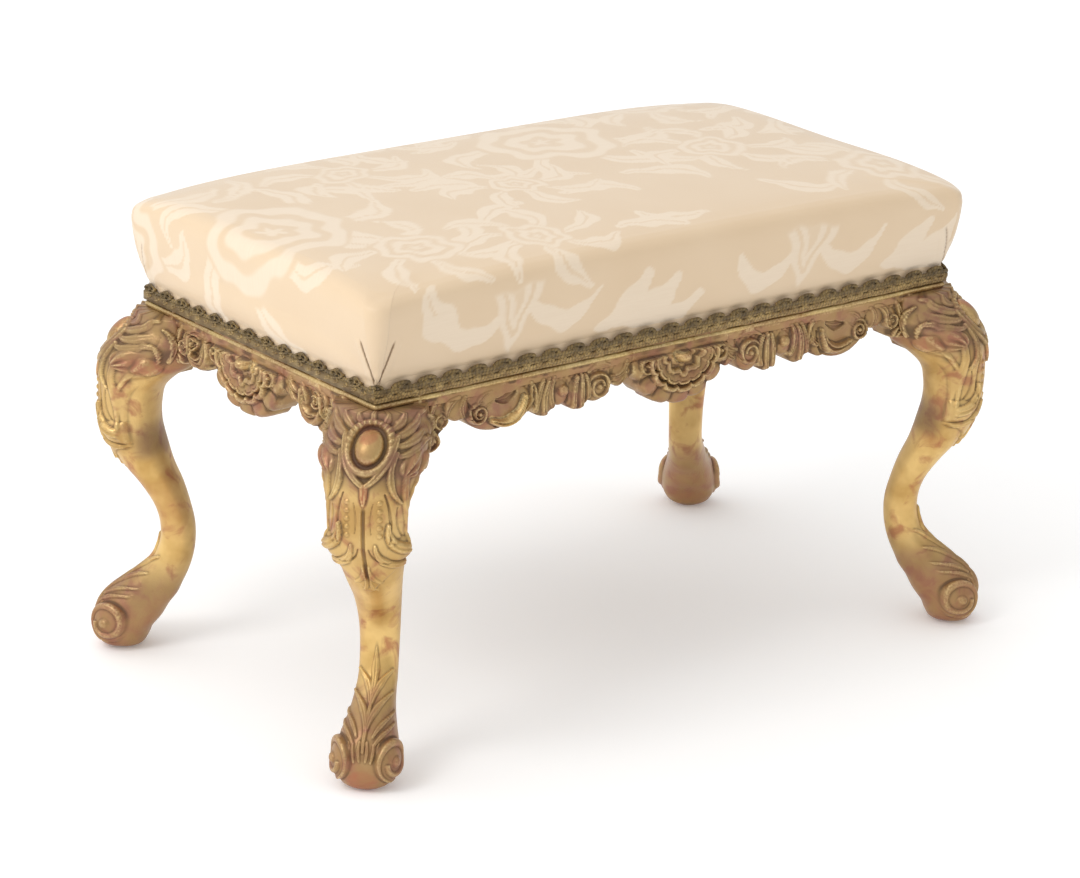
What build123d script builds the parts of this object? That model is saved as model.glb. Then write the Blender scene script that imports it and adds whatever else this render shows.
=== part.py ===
from build123d import *
import os
from math import cos, hypot, pi, radians, sin, sqrt

# Giltwood stool with a stuffed-over silk seat, in millimetres.
# The origin is on the floor under the middle of the seat, +Z is up, X runs along the long
# side, and the long side that faces -Y is called the front.

# Driving dimensions: the beech seat frame under the covering
frame_length = 720.0
frame_depth = 391.0
frame_top = 392.0
rail_thickness = 26.0
rail_end_height = 52.0
apron_depth = 73.0
tack_margin = 18.0

# Driving dimensions: the cabriole legs, measured out from the frame's corner on the diagonal
head_size = 52.0
leg_reach = 59.0
knee_half_width = 47.0
ear_length = 24.0
carving_relief = 3.0

# Driving dimensions: the gilt bead that hides the lower edge of the covering
bead_height = 9.0
bead_stand = 5.0

# Driving dimensions: the stuffed seat
seat_rise = 96.0
seat_overhang = 18.5
calico_thickness = 0.6
silk_thickness = 0.9
layer_gap = 0.3

# Driving dimensions: joints, clearances and the overrun that lets a cut pass right through
joint_clearance = 0.15
overrun = 5.0

half_length = frame_length / 2
half_depth = frame_depth / 2
bead_top = frame_top - tack_margin
bead_base = bead_top - bead_height
chamfer_side = head_size - rail_thickness
corner_names = ("front_left", "front_right", "back_left", "back_right")
side_names = ("front", "back", "left", "right")
long_sides = ("front", "back")


# Outlines and placing

def bowed(start, end, bow_share):
    """An arc that bows to the right of its way by a share of its chord, or a straight line."""
    if bow_share == 0:
        return Line(start, end)
    run_x = end[0] - start[0]
    run_y = end[1] - start[1]
    middle = ((start[0] + end[0]) / 2 + run_y * bow_share, (start[1] + end[1]) / 2 - run_x * bow_share)
    return ThreePointArc(start, middle, end)


def bowed_face(corners, bow_shares):
    """A flat face round the corners, each side an arc with its own bow."""
    ends = corners[1:] + corners[:1]
    return make_face([bowed(a, b, share) for a, b, share in zip(corners, ends, bow_shares)])


def at_corner(piece, name):
    """A piece drawn for the front left corner, mirrored to the named corner."""
    if name.endswith("right"):
        piece = mirror(piece, about=Plane.YZ)
    if name.startswith("back"):
        piece = mirror(piece, about=Plane.XZ)
    return piece


def half_span(name):
    """Half the length of the frame along the named side."""
    return half_length if name in long_sides else half_depth


def at_side(piece, name):
    """A piece drawn along X with its outer face on Y = 0 and its inside towards +Y."""
    turn = {"front": 0, "right": 90, "back": 180, "left": 270}[name]
    reach = half_depth if name in long_sides else half_length
    return Rot(0, 0, turn) * Pos(0, -reach, 0) * piece


def to_corner(piece):
    """A piece drawn with +X out along the diagonal, set on the front left corner of the frame."""
    return Pos(-half_length, -half_depth, 0) * Rot(0, 0, 225) * piece


# Mortise and tenon joints between the rails and the leg heads

tenon_thickness = 10.0
tenon_setback = 8.0
tenon_length = 30.0
tenon_shoulder = 6.0
mortise_depth_spare = 1.0
peg_diameter = 6.0
peg_length = 24.0
peg_edge_share = 0.5
peg_rise = 2.0
rod_sides = 8

tenon_height = rail_end_height - 2 * tenon_shoulder
tenon_base = frame_top - tenon_shoulder - tenon_height
peg_height = bead_top + peg_rise + peg_diameter / 2


def tenon_bar(along, clearance, spare):
    """The tenon's bar at one end of a side, or with clearance the mortise that takes it."""
    root = along - head_size
    bar = Box(
        tenon_length + spare,
        tenon_thickness + 2 * clearance,
        tenon_height + 2 * clearance,
        align=(Align.MIN, Align.MIN, Align.MIN),
    )
    return Pos(root, tenon_setback - clearance, tenon_base - clearance) * bar


def rod(radius, length):
    """An upright bar with eight flats, as a split oak peg has, with its foot on Z = 0."""
    return extrude(RegularPolygon(radius, rod_sides), length)


def peg(side, clearance):
    """One oak peg at the right-hand end of a side, driven in from the outer face of the head."""
    along = half_span(side) - head_size + tenon_length * peg_edge_share
    bar = rod(peg_diameter / 2 + clearance, peg_length + clearance)
    return Pos(along, 0, peg_height) * Rot(-90, 0, 0) * bar


def both_ends(piece):
    """The piece and its mirror image at the other end of a side."""
    return [piece, mirror(piece, about=Plane.YZ)]


# Cabriole legs: each row is height, outer edge, inner edge, side and half width. Heights are
# shares of the leg's height, reaches are shares of the leg's reach, and half widths are
# shares of the knee's half width.

leg_height = bead_base
leg_row_shares = (
    (0.000, 0.76, 0.27, 0.53, 0.24),
    (0.012, 0.87, 0.16, 0.52, 0.45),
    (0.030, 0.95, 0.07, 0.51, 0.56),
    (0.060, 0.99, -0.02, 0.48, 0.62),
    (0.095, 0.98, -0.19, 0.44, 0.62),
    (0.134, 0.89, -0.33, 0.34, 0.55),
    (0.165, 0.74, -0.45, 0.20, 0.48),
    (0.195, 0.49, -0.55, 0.02, 0.43),
    (0.225, 0.24, -0.62, -0.16, 0.39),
    (0.260, 0.03, -0.69, -0.32, 0.36),
    (0.310, -0.11, -0.75, -0.43, 0.355),
    (0.370, -0.15, -0.75, -0.46, 0.365),
    (0.430, -0.05, -0.67, -0.37, 0.395),
    (0.490, 0.19, -0.54, -0.18, 0.445),
    (0.550, 0.50, -0.38, 0.05, 0.55),
    (0.610, 0.73, -0.24, 0.22, 0.66),
    (0.670, 0.85, -0.16, 0.31, 0.72),
    (0.730, 0.88, -0.16, 0.32, 0.74),
    (0.785, 0.88, -0.26, 0.24, 0.79),
    (0.830, 0.86, -0.52, -0.04, 0.91),
    (0.867, 0.79, -0.86, -0.32, 1.00),
    (0.905, 0.66, -0.88, -0.52, 1.04),
    (0.940, 0.46, -0.86, -0.60, 0.98),
    (0.970, 0.22, -0.84, -0.62, 0.86),
    (0.992, 0.02, -0.82, -0.62, 0.74),
)
leg_front_bow_share = 0.20
leg_back_bow_share = 0.18
head_drop = 14.0

head_base = frame_top - rail_end_height - head_drop - overrun


def leg_section(row, grow):
    """One level section of the leg, four arcs through its front, back and two sides."""
    height, outer, inner, side, width = row
    front = (outer * leg_reach + grow, 0)
    back = (inner * leg_reach, 0)
    right = (side * leg_reach, -width * knee_half_width - grow)
    left = (side * leg_reach, width * knee_half_width + grow)
    bows = (leg_front_bow_share, leg_back_bow_share, leg_back_bow_share, leg_front_bow_share)
    return Pos(0, 0, height * leg_height) * bowed_face([front, left, back, right], bows)


def leg_stem(grow):
    """The S-curved stem from the foot to the top of the knee, or a skin grown round it."""
    return loft([leg_section(row, grow) for row in leg_row_shares])


def head_block():
    """The square head, its inner corner cut off level with the inner faces of the rails."""
    block = Pos(-half_length, -half_depth, head_base) * Box(
        head_size, head_size, frame_top - head_base, align=(Align.MIN, Align.MIN, Align.MIN)
    )
    corner_x = -half_length + head_size
    corner_y = -half_depth + head_size
    cut_face = make_face(
        Polyline(
            (corner_x, corner_y),
            (corner_x - chamfer_side, corner_y),
            (corner_x, corner_y - chamfer_side),
            close=True,
        )
    )
    return block - Pos(0, 0, head_base) * extrude(cut_face, frame_top)


def beyond_head():
    """Everything past the two side planes of the head, above the shoulder of the knee."""
    shoulder = frame_top - apron_depth - overrun
    tall = Box(leg_reach * 2, leg_reach * 4, frame_top, align=(Align.MIN, Align.CENTER, Align.MIN))
    past_x = Pos(-half_length + head_size, -half_depth, shoulder) * tall
    past_y = Pos(-half_length, -half_depth + head_size, shoulder) * Rot(0, 0, 90) * tall
    return past_x, past_y


# The oval cabochon on the knee, tilted with the slope of the carving, in a raised rim
cabochon_width = 25.0
cabochon_height = 32.0
cabochon_depth = 18.0
cabochon_reach = 22.0
cabochon_drop = 54.0
cabochon_tilt = 38.0
rim_section = 5.0
rim_stand = 4.0
rim_gap = 1.0


def cabochon():
    """A domed oval and the raised moulding that frames it."""
    dome = scale(Sphere(1), by=(cabochon_depth / 2, cabochon_width / 2, cabochon_height / 2))
    inner_x = cabochon_width / 2 + rim_gap
    inner_y = cabochon_height / 2 + rim_gap
    frame = Ellipse(inner_x + rim_section, inner_y + rim_section) - Ellipse(inner_x, inner_y)
    rim = Pos(-rim_section, 0, 0) * extrude(Plane.YZ * frame, rim_section + rim_stand)
    place = Pos(cabochon_reach, 0, frame_top - cabochon_drop) * Rot(0, -cabochon_tilt, 0)
    return place * (dome + rim)


# The acanthus leaf that hangs down the front of the knee. Points are half widths and heights
# as shares of the leaf, from its root to its tip.
knee_leaf_top = 322.0
knee_leaf_tip = 196.0
knee_leaf_half_width = 45.0
knee_leaf_shares = ((0.30, 1.0), (0.62, 0.66), (1.0, 0.30), (0.40, 0.20))
leaf_bow_share = 0.10


def knee_leaf():
    """The leaf in relief: the part of a grown leg inside the leaf's outline seen from the front."""
    rise = knee_leaf_top - knee_leaf_tip
    right = [(x * knee_leaf_half_width, knee_leaf_tip + y * rise) for x, y in knee_leaf_shares]
    right.append((0, knee_leaf_tip))
    left = [(-x, z) for x, z in reversed(right[:-1])]
    points = right + left
    face = Plane.YZ * bowed_face(points, [-leaf_bow_share] * (len(points) - 1) + [0])
    prism = extrude(face, leg_reach + overrun) + extrude(face, -leg_reach / 2)
    return prism & leg_stem(carving_relief)


# Scroll feet: a volute rolls out on each side of the toe, turned part of the way forward
volute_radius = 19.0
volute_height = 31.0
volute_reach = 34.0
volute_spread = 17.0
volute_depth = 10.0
volute_turn = 48.0
volute_relief = 2.2
volute_pitch_share = 0.86
volute_band_share = 0.76
volute_quarters = 4
eye_radius = 5.0
eye_stand = 4.0
boss_face_share = 0.55


def boss(radius, stand):
    """A low boss with a sloping edge, standing on Z = 0."""
    return Cone(radius, radius * boss_face_share, stand, align=(Align.CENTER, Align.CENTER, Align.MIN))


def spiral(size):
    """Quarter turns of a spiral whose radius shrinks by a steady share, drawn at a share of its size."""
    radii = [size * volute_radius * volute_pitch_share**turn for turn in range(volute_quarters + 1)]
    points = [(r * cos(k * pi / 2), r * sin(k * pi / 2)) for k, r in enumerate(radii)]
    middles = [
        (sqrt(a * b) * cos((k + 0.5) * pi / 2), sqrt(a * b) * sin((k + 0.5) * pi / 2))
        for k, (a, b) in enumerate(zip(radii, radii[1:]))
    ]
    return [ThreePointArc(a, m, b) for a, m, b in zip(points, middles, points[1:])]


def volute():
    """One scroll of the foot on its own axis: the rolled body, the raised spiral band and the eye."""
    outside = spiral(1)
    inside = spiral(volute_band_share)
    roll = extrude(make_face(outside + [Line(outside[-1] @ 1, outside[0] @ 0)]), -volute_depth)
    steps = [Line(outside[0] @ 0, inside[0] @ 0), Line(outside[-1] @ 1, inside[-1] @ 1)]
    band = extrude(make_face(outside + inside + steps), volute_relief)
    return roll + band + boss(eye_radius, eye_stand)


def foot_scrolls():
    """The pair of volutes, one each side of the toe."""
    place = Pos(volute_reach, volute_spread, volute_height) * Rot(0, 0, -volute_turn) * Rot(-90, 0, 0)
    scroll = place * Pos(0, 0, volute_depth) * volute()
    return scroll, mirror(scroll, about=Plane.XZ)


def leg():
    """The front left leg with its two mortises, peg holes and carving."""
    body = leg_stem(0) + knee_leaf()
    for scroll in foot_scrolls():
        body += scroll
    body += cabochon()
    solid = to_corner(body)
    for waste in beyond_head():
        solid -= waste
    solid += head_block()
    solid -= Box(frame_length * 2, frame_depth * 2, overrun, align=(Align.CENTER, Align.CENTER, Align.MAX))
    for side in ("front", "left"):
        for end in both_ends(tenon_bar(half_span(side), joint_clearance, mortise_depth_spare)):
            solid -= at_side(end, side)
        for hole in both_ends(peg(side, joint_clearance)):
            solid -= at_side(hole, side)
    return solid


# Seat rails with carved aprons. Each lobe is an arc that hangs between two points: start,
# end and lowest point along the rail, then the three drops. Places are shares of the run
# from the rail's middle to its ear, drops are shares of the apron's depth.

front_lobe_shares = (
    (0.211, 0.303, 0.257, 0.795, 0.795, 0.755),
    (0.303, 0.482, 0.392, 0.795, 0.810, 0.935),
    (0.482, 0.627, 0.555, 0.810, 0.845, 0.935),
    (0.627, 0.905, 0.768, 0.845, 0.740, 0.995),
)
side_lobe_shares = (
    (0.500, 0.670, 0.585, 0.795, 0.795, 0.745),
    (0.670, 0.985, 0.830, 0.795, 0.740, 0.945),
)
centre_drop_share = 1.0


def rail_lobes(side):
    """The rows of arcs that make the apron of the named side."""
    return front_lobe_shares if side in long_sides else side_lobe_shares


def rail_face(side):
    """Front view of a rail between its shoulders, from the flat top to the carved lower edge."""
    span = half_span(side) - head_size
    run = span - ear_length
    flat = frame_top - rail_end_height
    lobes = rail_lobes(side)

    def point(along, drop):
        return (along * run, frame_top - drop * apron_depth)

    right = []
    for start, end, low, start_drop, end_drop, low_drop in lobes:
        right.append(ThreePointArc(point(start, start_drop), point(low, low_drop), point(end, end_drop)))
    first = right[0] @ 0
    last = right[-1] @ 1
    left = [mirror(arc, about=Plane.YZ) for arc in right]
    centre = ThreePointArc((-first.X, first.Y), point(0, centre_drop_share), (first.X, first.Y))
    ends = Polyline(
        (last.X, last.Y), (last.X, flat), (span, flat), (span, frame_top), (-span, frame_top),
        (-span, flat), (-last.X, flat), (-last.X, last.Y),
    )
    return make_face(right + left + [centre, ends])


# Raised carving on the apron: a crescent stands along the edge of each lobe, a scroll ends the
# large one and a rosette sits over its neighbour
crescent_width = 9.0
crescent_stand = 4.0
crescent_inset = 1.2
rosette_radius = 13.0
rosette_stand = 6.0
rosette_share = 0.392
rosette_drop_share = 0.60
scroll_radius = 9.0
scroll_stand = 5.0
scroll_share = 0.685
scroll_drop_share = 0.62


def crescents(side):
    """The raised rims of the lobes on the right half of a rail."""
    run = half_span(side) - head_size - ear_length
    rims = []
    for start, end, low, start_drop, end_drop, low_drop in rail_lobes(side):
        if low_drop < max(start_drop, end_drop):
            continue
        a = (start * run + crescent_inset, frame_top - start_drop * apron_depth + crescent_inset)
        b = (end * run - crescent_inset, frame_top - end_drop * apron_depth + crescent_inset)
        deepest = (low * run, frame_top - low_drop * apron_depth + crescent_inset)
        crest = (deepest[0], deepest[1] + crescent_width)
        rim = make_face([ThreePointArc(a, deepest, b), ThreePointArc(a, crest, b)])
        rims.append(extrude(Plane.XZ * rim, crescent_stand))
    return rims


def rail(side):
    """One beech rail with its tenons, peg holes and carved face."""
    run = half_span(side) - head_size - ear_length
    body = extrude(Plane.XZ * rail_face(side), -rail_thickness)
    carving = crescents(side)
    if side in long_sides:
        rosette = Rot(90, 0, 0) * boss(rosette_radius, rosette_stand)
        scroll = Rot(90, 0, 0) * boss(scroll_radius, scroll_stand)
        carving.append(Pos(rosette_share * run, 0, frame_top - rosette_drop_share * apron_depth) * rosette)
        carving.append(Pos(scroll_share * run, 0, frame_top - scroll_drop_share * apron_depth) * scroll)
    for piece in carving:
        for end in both_ends(piece):
            body += end
    for end in both_ends(tenon_bar(half_span(side), 0, 0)):
        body += end
    for hole in both_ends(peg(side, joint_clearance)):
        body -= hole
    return body


# Shell cartouches glued to the middle of each rail: petals fan out behind a raised bowl rim, and
# a round boss closes the top. Petals reach to an ellipse about the shell's centre.
shell_half_width = 58.0
shell_drop = 51.0
shell_centre_drop = 32.0
shell_petals = 7
shell_fan_angle = 96.0
petal_root = 6.0
petal_end = 23.0
petal_bow_share = 0.3
petal_stand = 7.0
bowl_half_width = 36.0
bowl_drop = 34.0
bowl_rim_width = 10.0
bowl_stand = 13.0
shell_boss_radius = 9.0
shell_boss_stand = 17.0


def shell_petal(angle):
    """The flat outline of one petal, root at the centre and round end out along its angle."""
    across = sin(radians(angle)) / shell_half_width
    down = cos(radians(angle)) / shell_drop
    straight = 1 / hypot(across, down) - petal_end * petal_bow_share
    root = petal_root / 2
    end = petal_end / 2
    corners = [(-root, 0), (root, 0), (end, straight), (-end, straight)]
    return Rot(0, 0, 180 + angle) * bowed_face(corners, [0, 0, petal_bow_share, 0])


def shell():
    """The fan, the rim of its bowl and the boss, flat at the back and cut level under the bead."""
    steps = [2 * number / (shell_petals - 1) - 1 for number in range(shell_petals)]
    fan = Sketch() + [shell_petal(shell_fan_angle * step) for step in steps]
    left = (-bowl_half_width, 0)
    right = (bowl_half_width, 0)
    rim = make_face(
        [ThreePointArc(left, (0, -bowl_drop), right), ThreePointArc(left, (0, bowl_rim_width - bowl_drop), right)]
    )
    body = extrude(Plane.XZ * fan, petal_stand) + extrude(Plane.XZ * rim, bowl_stand)
    body += Rot(90, 0, 0) * boss(shell_boss_radius, shell_boss_stand)
    body = Pos(0, 0, frame_top - shell_centre_drop) * body
    room = Box(
        shell_half_width * 4,
        shell_half_width,
        shell_drop * 2,
        align=(Align.CENTER, Align.MAX, Align.MAX),
    )
    return body & Pos(0, 0, bead_base) * room


# Knee ears: a hooked bracket fills the angle between each leg and the rail beside it
ear_height = 36.0
ear_back = 20.0
ear_stand = 11.0
ear_hook_radius = 7.0
ear_bow_share = 0.16


def ear(side):
    """The bracket at the right-hand end of a side, under the flat end of the rail."""
    span = half_span(side) - head_size
    top = frame_top - rail_end_height
    tip = span - ear_length + ear_hook_radius
    outline = make_face(
        [
            Line((span, top), (tip, top)),
            bowed((tip, top), (tip, top - 2 * ear_hook_radius), 0.5),
            bowed((tip, top - 2 * ear_hook_radius), (span, top - ear_height), -ear_bow_share),
            Line((span, top - ear_height), (span, top)),
        ]
    )
    return Pos(0, ear_back, 0) * extrude(Plane.XZ * outline, ear_back + ear_stand)


# Gilt bead: four lengths of half-round moulding, mitred at the corners

def mitred(piece, side, stand):
    """A piece along a side, cut at 45 degrees at both ends where it stands out from the frame."""
    span = half_span(side)
    plan = make_face(
        Polyline((-span, 0), (span, 0), (span + stand, -stand), (-span - stand, -stand), close=True)
    )
    return piece & extrude(plan, frame_top + seat_rise)


def bead(side):
    """One length of the bead moulding."""
    flat = bead_stand / 5
    middle = bead_base + bead_height / 2
    face = make_face(
        [
            Polyline((-flat, bead_top), (0, bead_top), (0, bead_base), (-flat, bead_base)),
            ThreePointArc((-flat, bead_base), (-bead_stand, middle), (-flat, bead_top)),
        ]
    )
    reach = half_span(side) + bead_stand
    strip = Pos(-reach, 0, 0) * extrude(Plane.YZ * face, 2 * reach)
    return mitred(strip, side, bead_stand)


# Corner blocks screwed into the rails behind each leg head
block_side = 44.0
block_height = 38.0
block_top_drop = 8.0
screw_diameter = 4.0
screw_length = 30.0
screw_head_diameter = 8.0
screw_head_height = 3.0
screw_place_share = 0.45
screw_bite = 16.0


def corner_block():
    """The glue block across one inner corner, from the head's chamfer to its long face."""
    x = -half_length + rail_thickness
    y = -half_depth + rail_thickness
    near = chamfer_side
    far = chamfer_side + block_side
    plan = make_face(Polyline((x + near, y), (x + far, y), (x, y + far), (x, y + near), close=True))
    base = frame_top - block_top_drop - block_height
    return Pos(0, 0, base) * extrude(plan, block_height)


def block_screw(clearance):
    """A screw through the front wing of the block into the front rail, heading towards -Y."""
    x = -half_length + rail_thickness + chamfer_side + block_side * screw_place_share
    tip = -half_depth + rail_thickness - screw_bite
    z = frame_top - block_top_drop - block_height / 2
    shank = rod(screw_diameter / 2 + clearance, screw_length + clearance)
    head_length = screw_head_height if clearance == 0 else block_side
    head = rod(screw_head_diameter / 2 + clearance, head_length)
    screw = Pos(0, 0, -clearance) * shank + Pos(0, 0, screw_length - clearance) * head
    return Pos(x, tip, z) * Rot(-90, 0, 0) * screw


def diagonal_twin(piece):
    """The same piece on the other side of the corner's diagonal."""
    return to_corner(mirror(Rot(0, 0, -225) * Pos(half_length, half_depth, 0) * piece, about=Plane.XZ))


def block_screws(clearance):
    """The two screws of one corner block."""
    screw = block_screw(clearance)
    return [screw, diagonal_twin(screw)]


# Webbing: jute straps woven over and under each other, on top of the rails
web_width = 50.0
web_thickness = 1.6
web_end_margin = 6.0
web_gap = 0.2
long_straps = 3
cross_straps = 5

web_lift = web_thickness + web_gap


def strap_places(count, opening):
    """Evenly spaced middles of the straps across an opening."""
    return [opening * ((number + 1) / (count + 1) - 0.5) for number in range(count)]


long_places = strap_places(long_straps, frame_depth)
cross_places = strap_places(cross_straps, frame_length)


def strap(reach, crossings, first_high):
    """One strap seen from its edge: a band that steps up where it passes over another."""
    slope = web_width / 5
    points = [(-reach, 0)]
    for number, place in enumerate(crossings):
        if (number + first_high) % 2:
            half = web_width / 2 + web_gap
            points += [
                (place - half - slope, 0), (place - half, web_lift), (place + half, web_lift), (place + half + slope, 0),
            ]
    points.append((reach, 0))
    upper = [(x, z + web_thickness) for x, z in reversed(points)]
    face = make_face(Polyline(*(points + upper), close=True))
    return Pos(0, web_width / 2, frame_top) * extrude(Plane.XZ * face, web_width)


def long_webbing():
    """The straps that run along X."""
    reach = half_length - web_end_margin
    return [Pos(0, y, 0) * strap(reach, cross_places, number) for number, y in enumerate(long_places)]


def cross_webbing():
    """The straps that run along Y, over where the long ones run under."""
    reach = half_depth - web_end_margin
    return [
        Pos(x, 0, 0) * Rot(0, 0, 90) * strap(reach, long_places, number + 1)
        for number, x in enumerate(cross_places)
    ]


# Tacks with square shanks that hold the webbing down on the rails
tack_head_side = 6.0
tack_head_height = 1.0
tack_shank = 1.6
tack_length = 11.0
tack_spread_share = 0.5
tacks_per_end = 2


def tack(clearance):
    """A cut tack, its square head on Z = 0 and its shank below, or the hole for it."""
    side = tack_shank + 2 * clearance
    shank = Box(side, side, tack_length + clearance, align=(Align.CENTER, Align.CENTER, Align.MAX))
    if clearance:
        return shank
    head = Box(
        tack_head_side,
        tack_head_side,
        tack_head_height,
        align=(Align.CENTER, Align.CENTER, Align.MIN),
    )
    return shank + head


def tack_spots():
    """Where the tacks go: a row across each end of every strap."""
    spots = []
    in_x = half_length - rail_thickness / 2
    in_y = half_depth - rail_thickness / 2
    steps = [web_width * tack_spread_share * (number - (tacks_per_end - 1) / 2) for number in range(tacks_per_end)]
    for step in steps:
        spots += [(end * in_x, y + step) for y in long_places for end in (-1, 1)]
        spots += [(x + step, end * in_y) for x in cross_places for end in (-1, 1)]
    return spots


def tacks(clearance):
    """All the webbing tacks, or their holes."""
    return [Pos(x, y, frame_top + web_thickness) * tack(clearance) for x, y in tack_spots()]


# The stuffed seat. Rows are height as a share of the seat's rise, then how far the outline
# stands out from the frame as a share of the overhang, then how far it draws in again as a
# share of the frame's half depth, then its corner radius and side draw as shares.
seat_corner_radius = 26.0
side_draw = 2.5
seat_row_shares = (
    (0.00, 0.00, 0.00, 0.20, 0.2),
    (0.16, 0.44, 0.00, 0.60, 0.5),
    (0.40, 0.84, 0.00, 0.90, 1.0),
    (0.62, 1.00, 0.00, 1.00, 1.0),
    (0.76, 0.94, 0.00, 1.00, 1.0),
    (0.86, 0.45, 0.00, 1.00, 0.8),
    (0.92, 0.00, 0.05, 1.10, 0.6),
    (0.97, 0.00, 0.28, 1.30, 0.3),
    (1.00, 0.00, 0.72, 1.00, 0.1),
)


def seat_section(row, grow):
    """A level section of the seat: four sides drawn in a little between rounded corners."""
    height, out, inward, corner, draw = row
    step = out * seat_overhang - inward * half_depth + grow
    x = half_length + step
    y = half_depth + step
    radius = min(corner * seat_corner_radius + grow, y * 0.9)
    slack = draw * side_draw
    turn = radius * (1 - sqrt(0.5))
    right = ThreePointArc((x, radius - y), (x - slack, 0), (x, y - radius))
    back = ThreePointArc((x - radius, y), (0, y - slack), (radius - x, y))
    corner_arc = ThreePointArc((x, y - radius), (x - turn, y - turn), (x - radius, y))
    edges = [right, back, mirror(right, about=Plane.YZ), mirror(back, about=Plane.XZ)]
    edges += [corner_arc, mirror(corner_arc, about=Plane.YZ), mirror(corner_arc, about=Plane.XZ)]
    edges.append(mirror(mirror(corner_arc, about=Plane.YZ), about=Plane.XZ))
    lift = grow if height > 0 else 0
    return Pos(0, 0, frame_top + height * seat_rise + lift) * make_face(edges)


def seat_form(grow):
    """The domed seat above the frame, grown evenly by the layers already on it."""
    return loft([seat_section(row, grow) for row in seat_row_shares], ruled=True)


def skirt(inner, outer):
    """The margin of a covering that turns down over the frame and is tacked to its face."""
    wide = Box(frame_length + 2 * outer, frame_depth + 2 * outer, tack_margin)
    hole = Box(frame_length + 2 * inner, frame_depth + 2 * inner, tack_margin)
    return Pos(0, 0, frame_top - tack_margin / 2) * (wide - hole)


# Layers from the frame outwards
hessian_thickness = 1.0
hessian_margin = 8.0
hessian_base = frame_top + 2 * web_thickness + 2 * web_gap
stuffing_base = hessian_base + hessian_thickness + web_gap


def hessian():
    """The flat cloth over the webbing that carries the stuffing."""
    sheet = Box(
        frame_length - 2 * hessian_margin,
        frame_depth - 2 * hessian_margin,
        hessian_thickness,
        align=(Align.CENTER, Align.CENTER, Align.MIN),
    )
    return Pos(0, 0, hessian_base) * sheet


def stuffing():
    """The domed pad of curled hair, flat underneath."""
    below = Box(frame_length * 2, frame_depth * 2, stuffing_base, align=(Align.CENTER, Align.CENTER, Align.MIN))
    return seat_form(-layer_gap) - below


def calico():
    """The undercover, a thin shell over the stuffing with its skirt on the frame."""
    return seat_form(calico_thickness) - seat_form(0) + skirt(0, calico_thickness)


def silk_cover():
    """The damask top cover over the calico."""
    inner = calico_thickness + layer_gap
    outer = calico_thickness + silk_thickness
    return seat_form(inner + silk_thickness) - seat_form(inner) + skirt(calico_thickness, outer)


# Gimp: one length of scroll braid round the frame, its upper edge in scallops
gimp_height = 18.0
gimp_thickness = 2.4
gimp_scallops_long = 25
gimp_scallops_short = 14
gimp_scallop_depth = 4.0
gimp_shoulder_share = 0.3


def gimp_side(side):
    """The braid along one side, mitred so that the four sides join into one ring."""
    inner = calico_thickness + silk_thickness
    outer = inner + gimp_thickness
    reach = half_span(side) + outer
    count = gimp_scallops_long if side in long_sides else gimp_scallops_short
    valley = bead_top + gimp_height - gimp_scallop_depth
    pitch = 2 * reach / count
    points = [(-reach, bead_top), (-reach, valley)]
    for number in range(count):
        start = -reach + number * pitch
        shoulder = pitch * gimp_shoulder_share
        points += [(start + shoulder, bead_top + gimp_height), (start + pitch - shoulder, bead_top + gimp_height)]
        points.append((start + pitch, valley))
    points.append((reach, bead_top))
    band = Pos(0, -inner, 0) * extrude(Plane.XZ * make_face(Polyline(*points, close=True)), gimp_thickness)
    return mitred(band, side, outer)


def gimp():
    """The braid's whole ring."""
    ring = at_side(gimp_side("front"), "front")
    for side in side_names[1:]:
        ring += at_side(gimp_side(side), side)
    return ring


# Build and save every piece

def save(name, pieces):
    """Write one node; like pieces that share a node stay separate solids."""
    export_step(pieces[0] if len(pieces) == 1 else Compound(children=pieces), f"parts/{name}.step")


def main():
    os.makedirs("parts", exist_ok=True)
    tack_holes = tacks(joint_clearance)
    front_left_leg = leg()
    block = corner_block()
    for hole in block_screws(joint_clearance):
        block -= hole
    screws = []
    for name in corner_names:
        save(f"leg_{name}", [at_corner(front_left_leg, name)])
        save(f"corner_block_{name}", [at_corner(block, name)])
        screws += [at_corner(screw, name) for screw in block_screws(0)]
    save("corner_block_screws", screws)

    screw_holes = [at_corner(hole, name) for name in corner_names for hole in block_screws(joint_clearance)]
    pegs = []
    for side in side_names:
        beam = at_side(rail(side), side)
        for hole in tack_holes + screw_holes:
            if hole.bounding_box().overlaps(beam.bounding_box()):
                beam -= hole
        save(f"rail_{side}", [beam])
        save(f"shell_{side}", [at_side(shell(), side)])
        save(f"bead_{side}", [at_side(bead(side), side)])
        for end, bracket in zip(("right", "left"), both_ends(ear(side))):
            save(f"ear_{side}_{end}", [at_side(bracket, side)])
        pegs += [at_side(one, side) for one in both_ends(peg(side, 0))]
    save("tenon_pegs", pegs)

    for name, straps in (("webbing_long", long_webbing()), ("webbing_cross", cross_webbing())):
        woven = []
        for band in straps:
            for hole in tack_holes:
                if hole.bounding_box().overlaps(band.bounding_box()):
                    band -= hole
            woven.append(band)
        save(name, woven)
    save("webbing_tacks", tacks(0))
    save("hessian", [hessian()])
    save("stuffing", [stuffing()])
    save("calico_undercover", [calico()])
    save("silk_cover", [silk_cover()])
    save("gimp_braid", [gimp()])


main()
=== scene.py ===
import bpy
import numpy as np
from mathutils import Matrix, Vector


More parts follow.
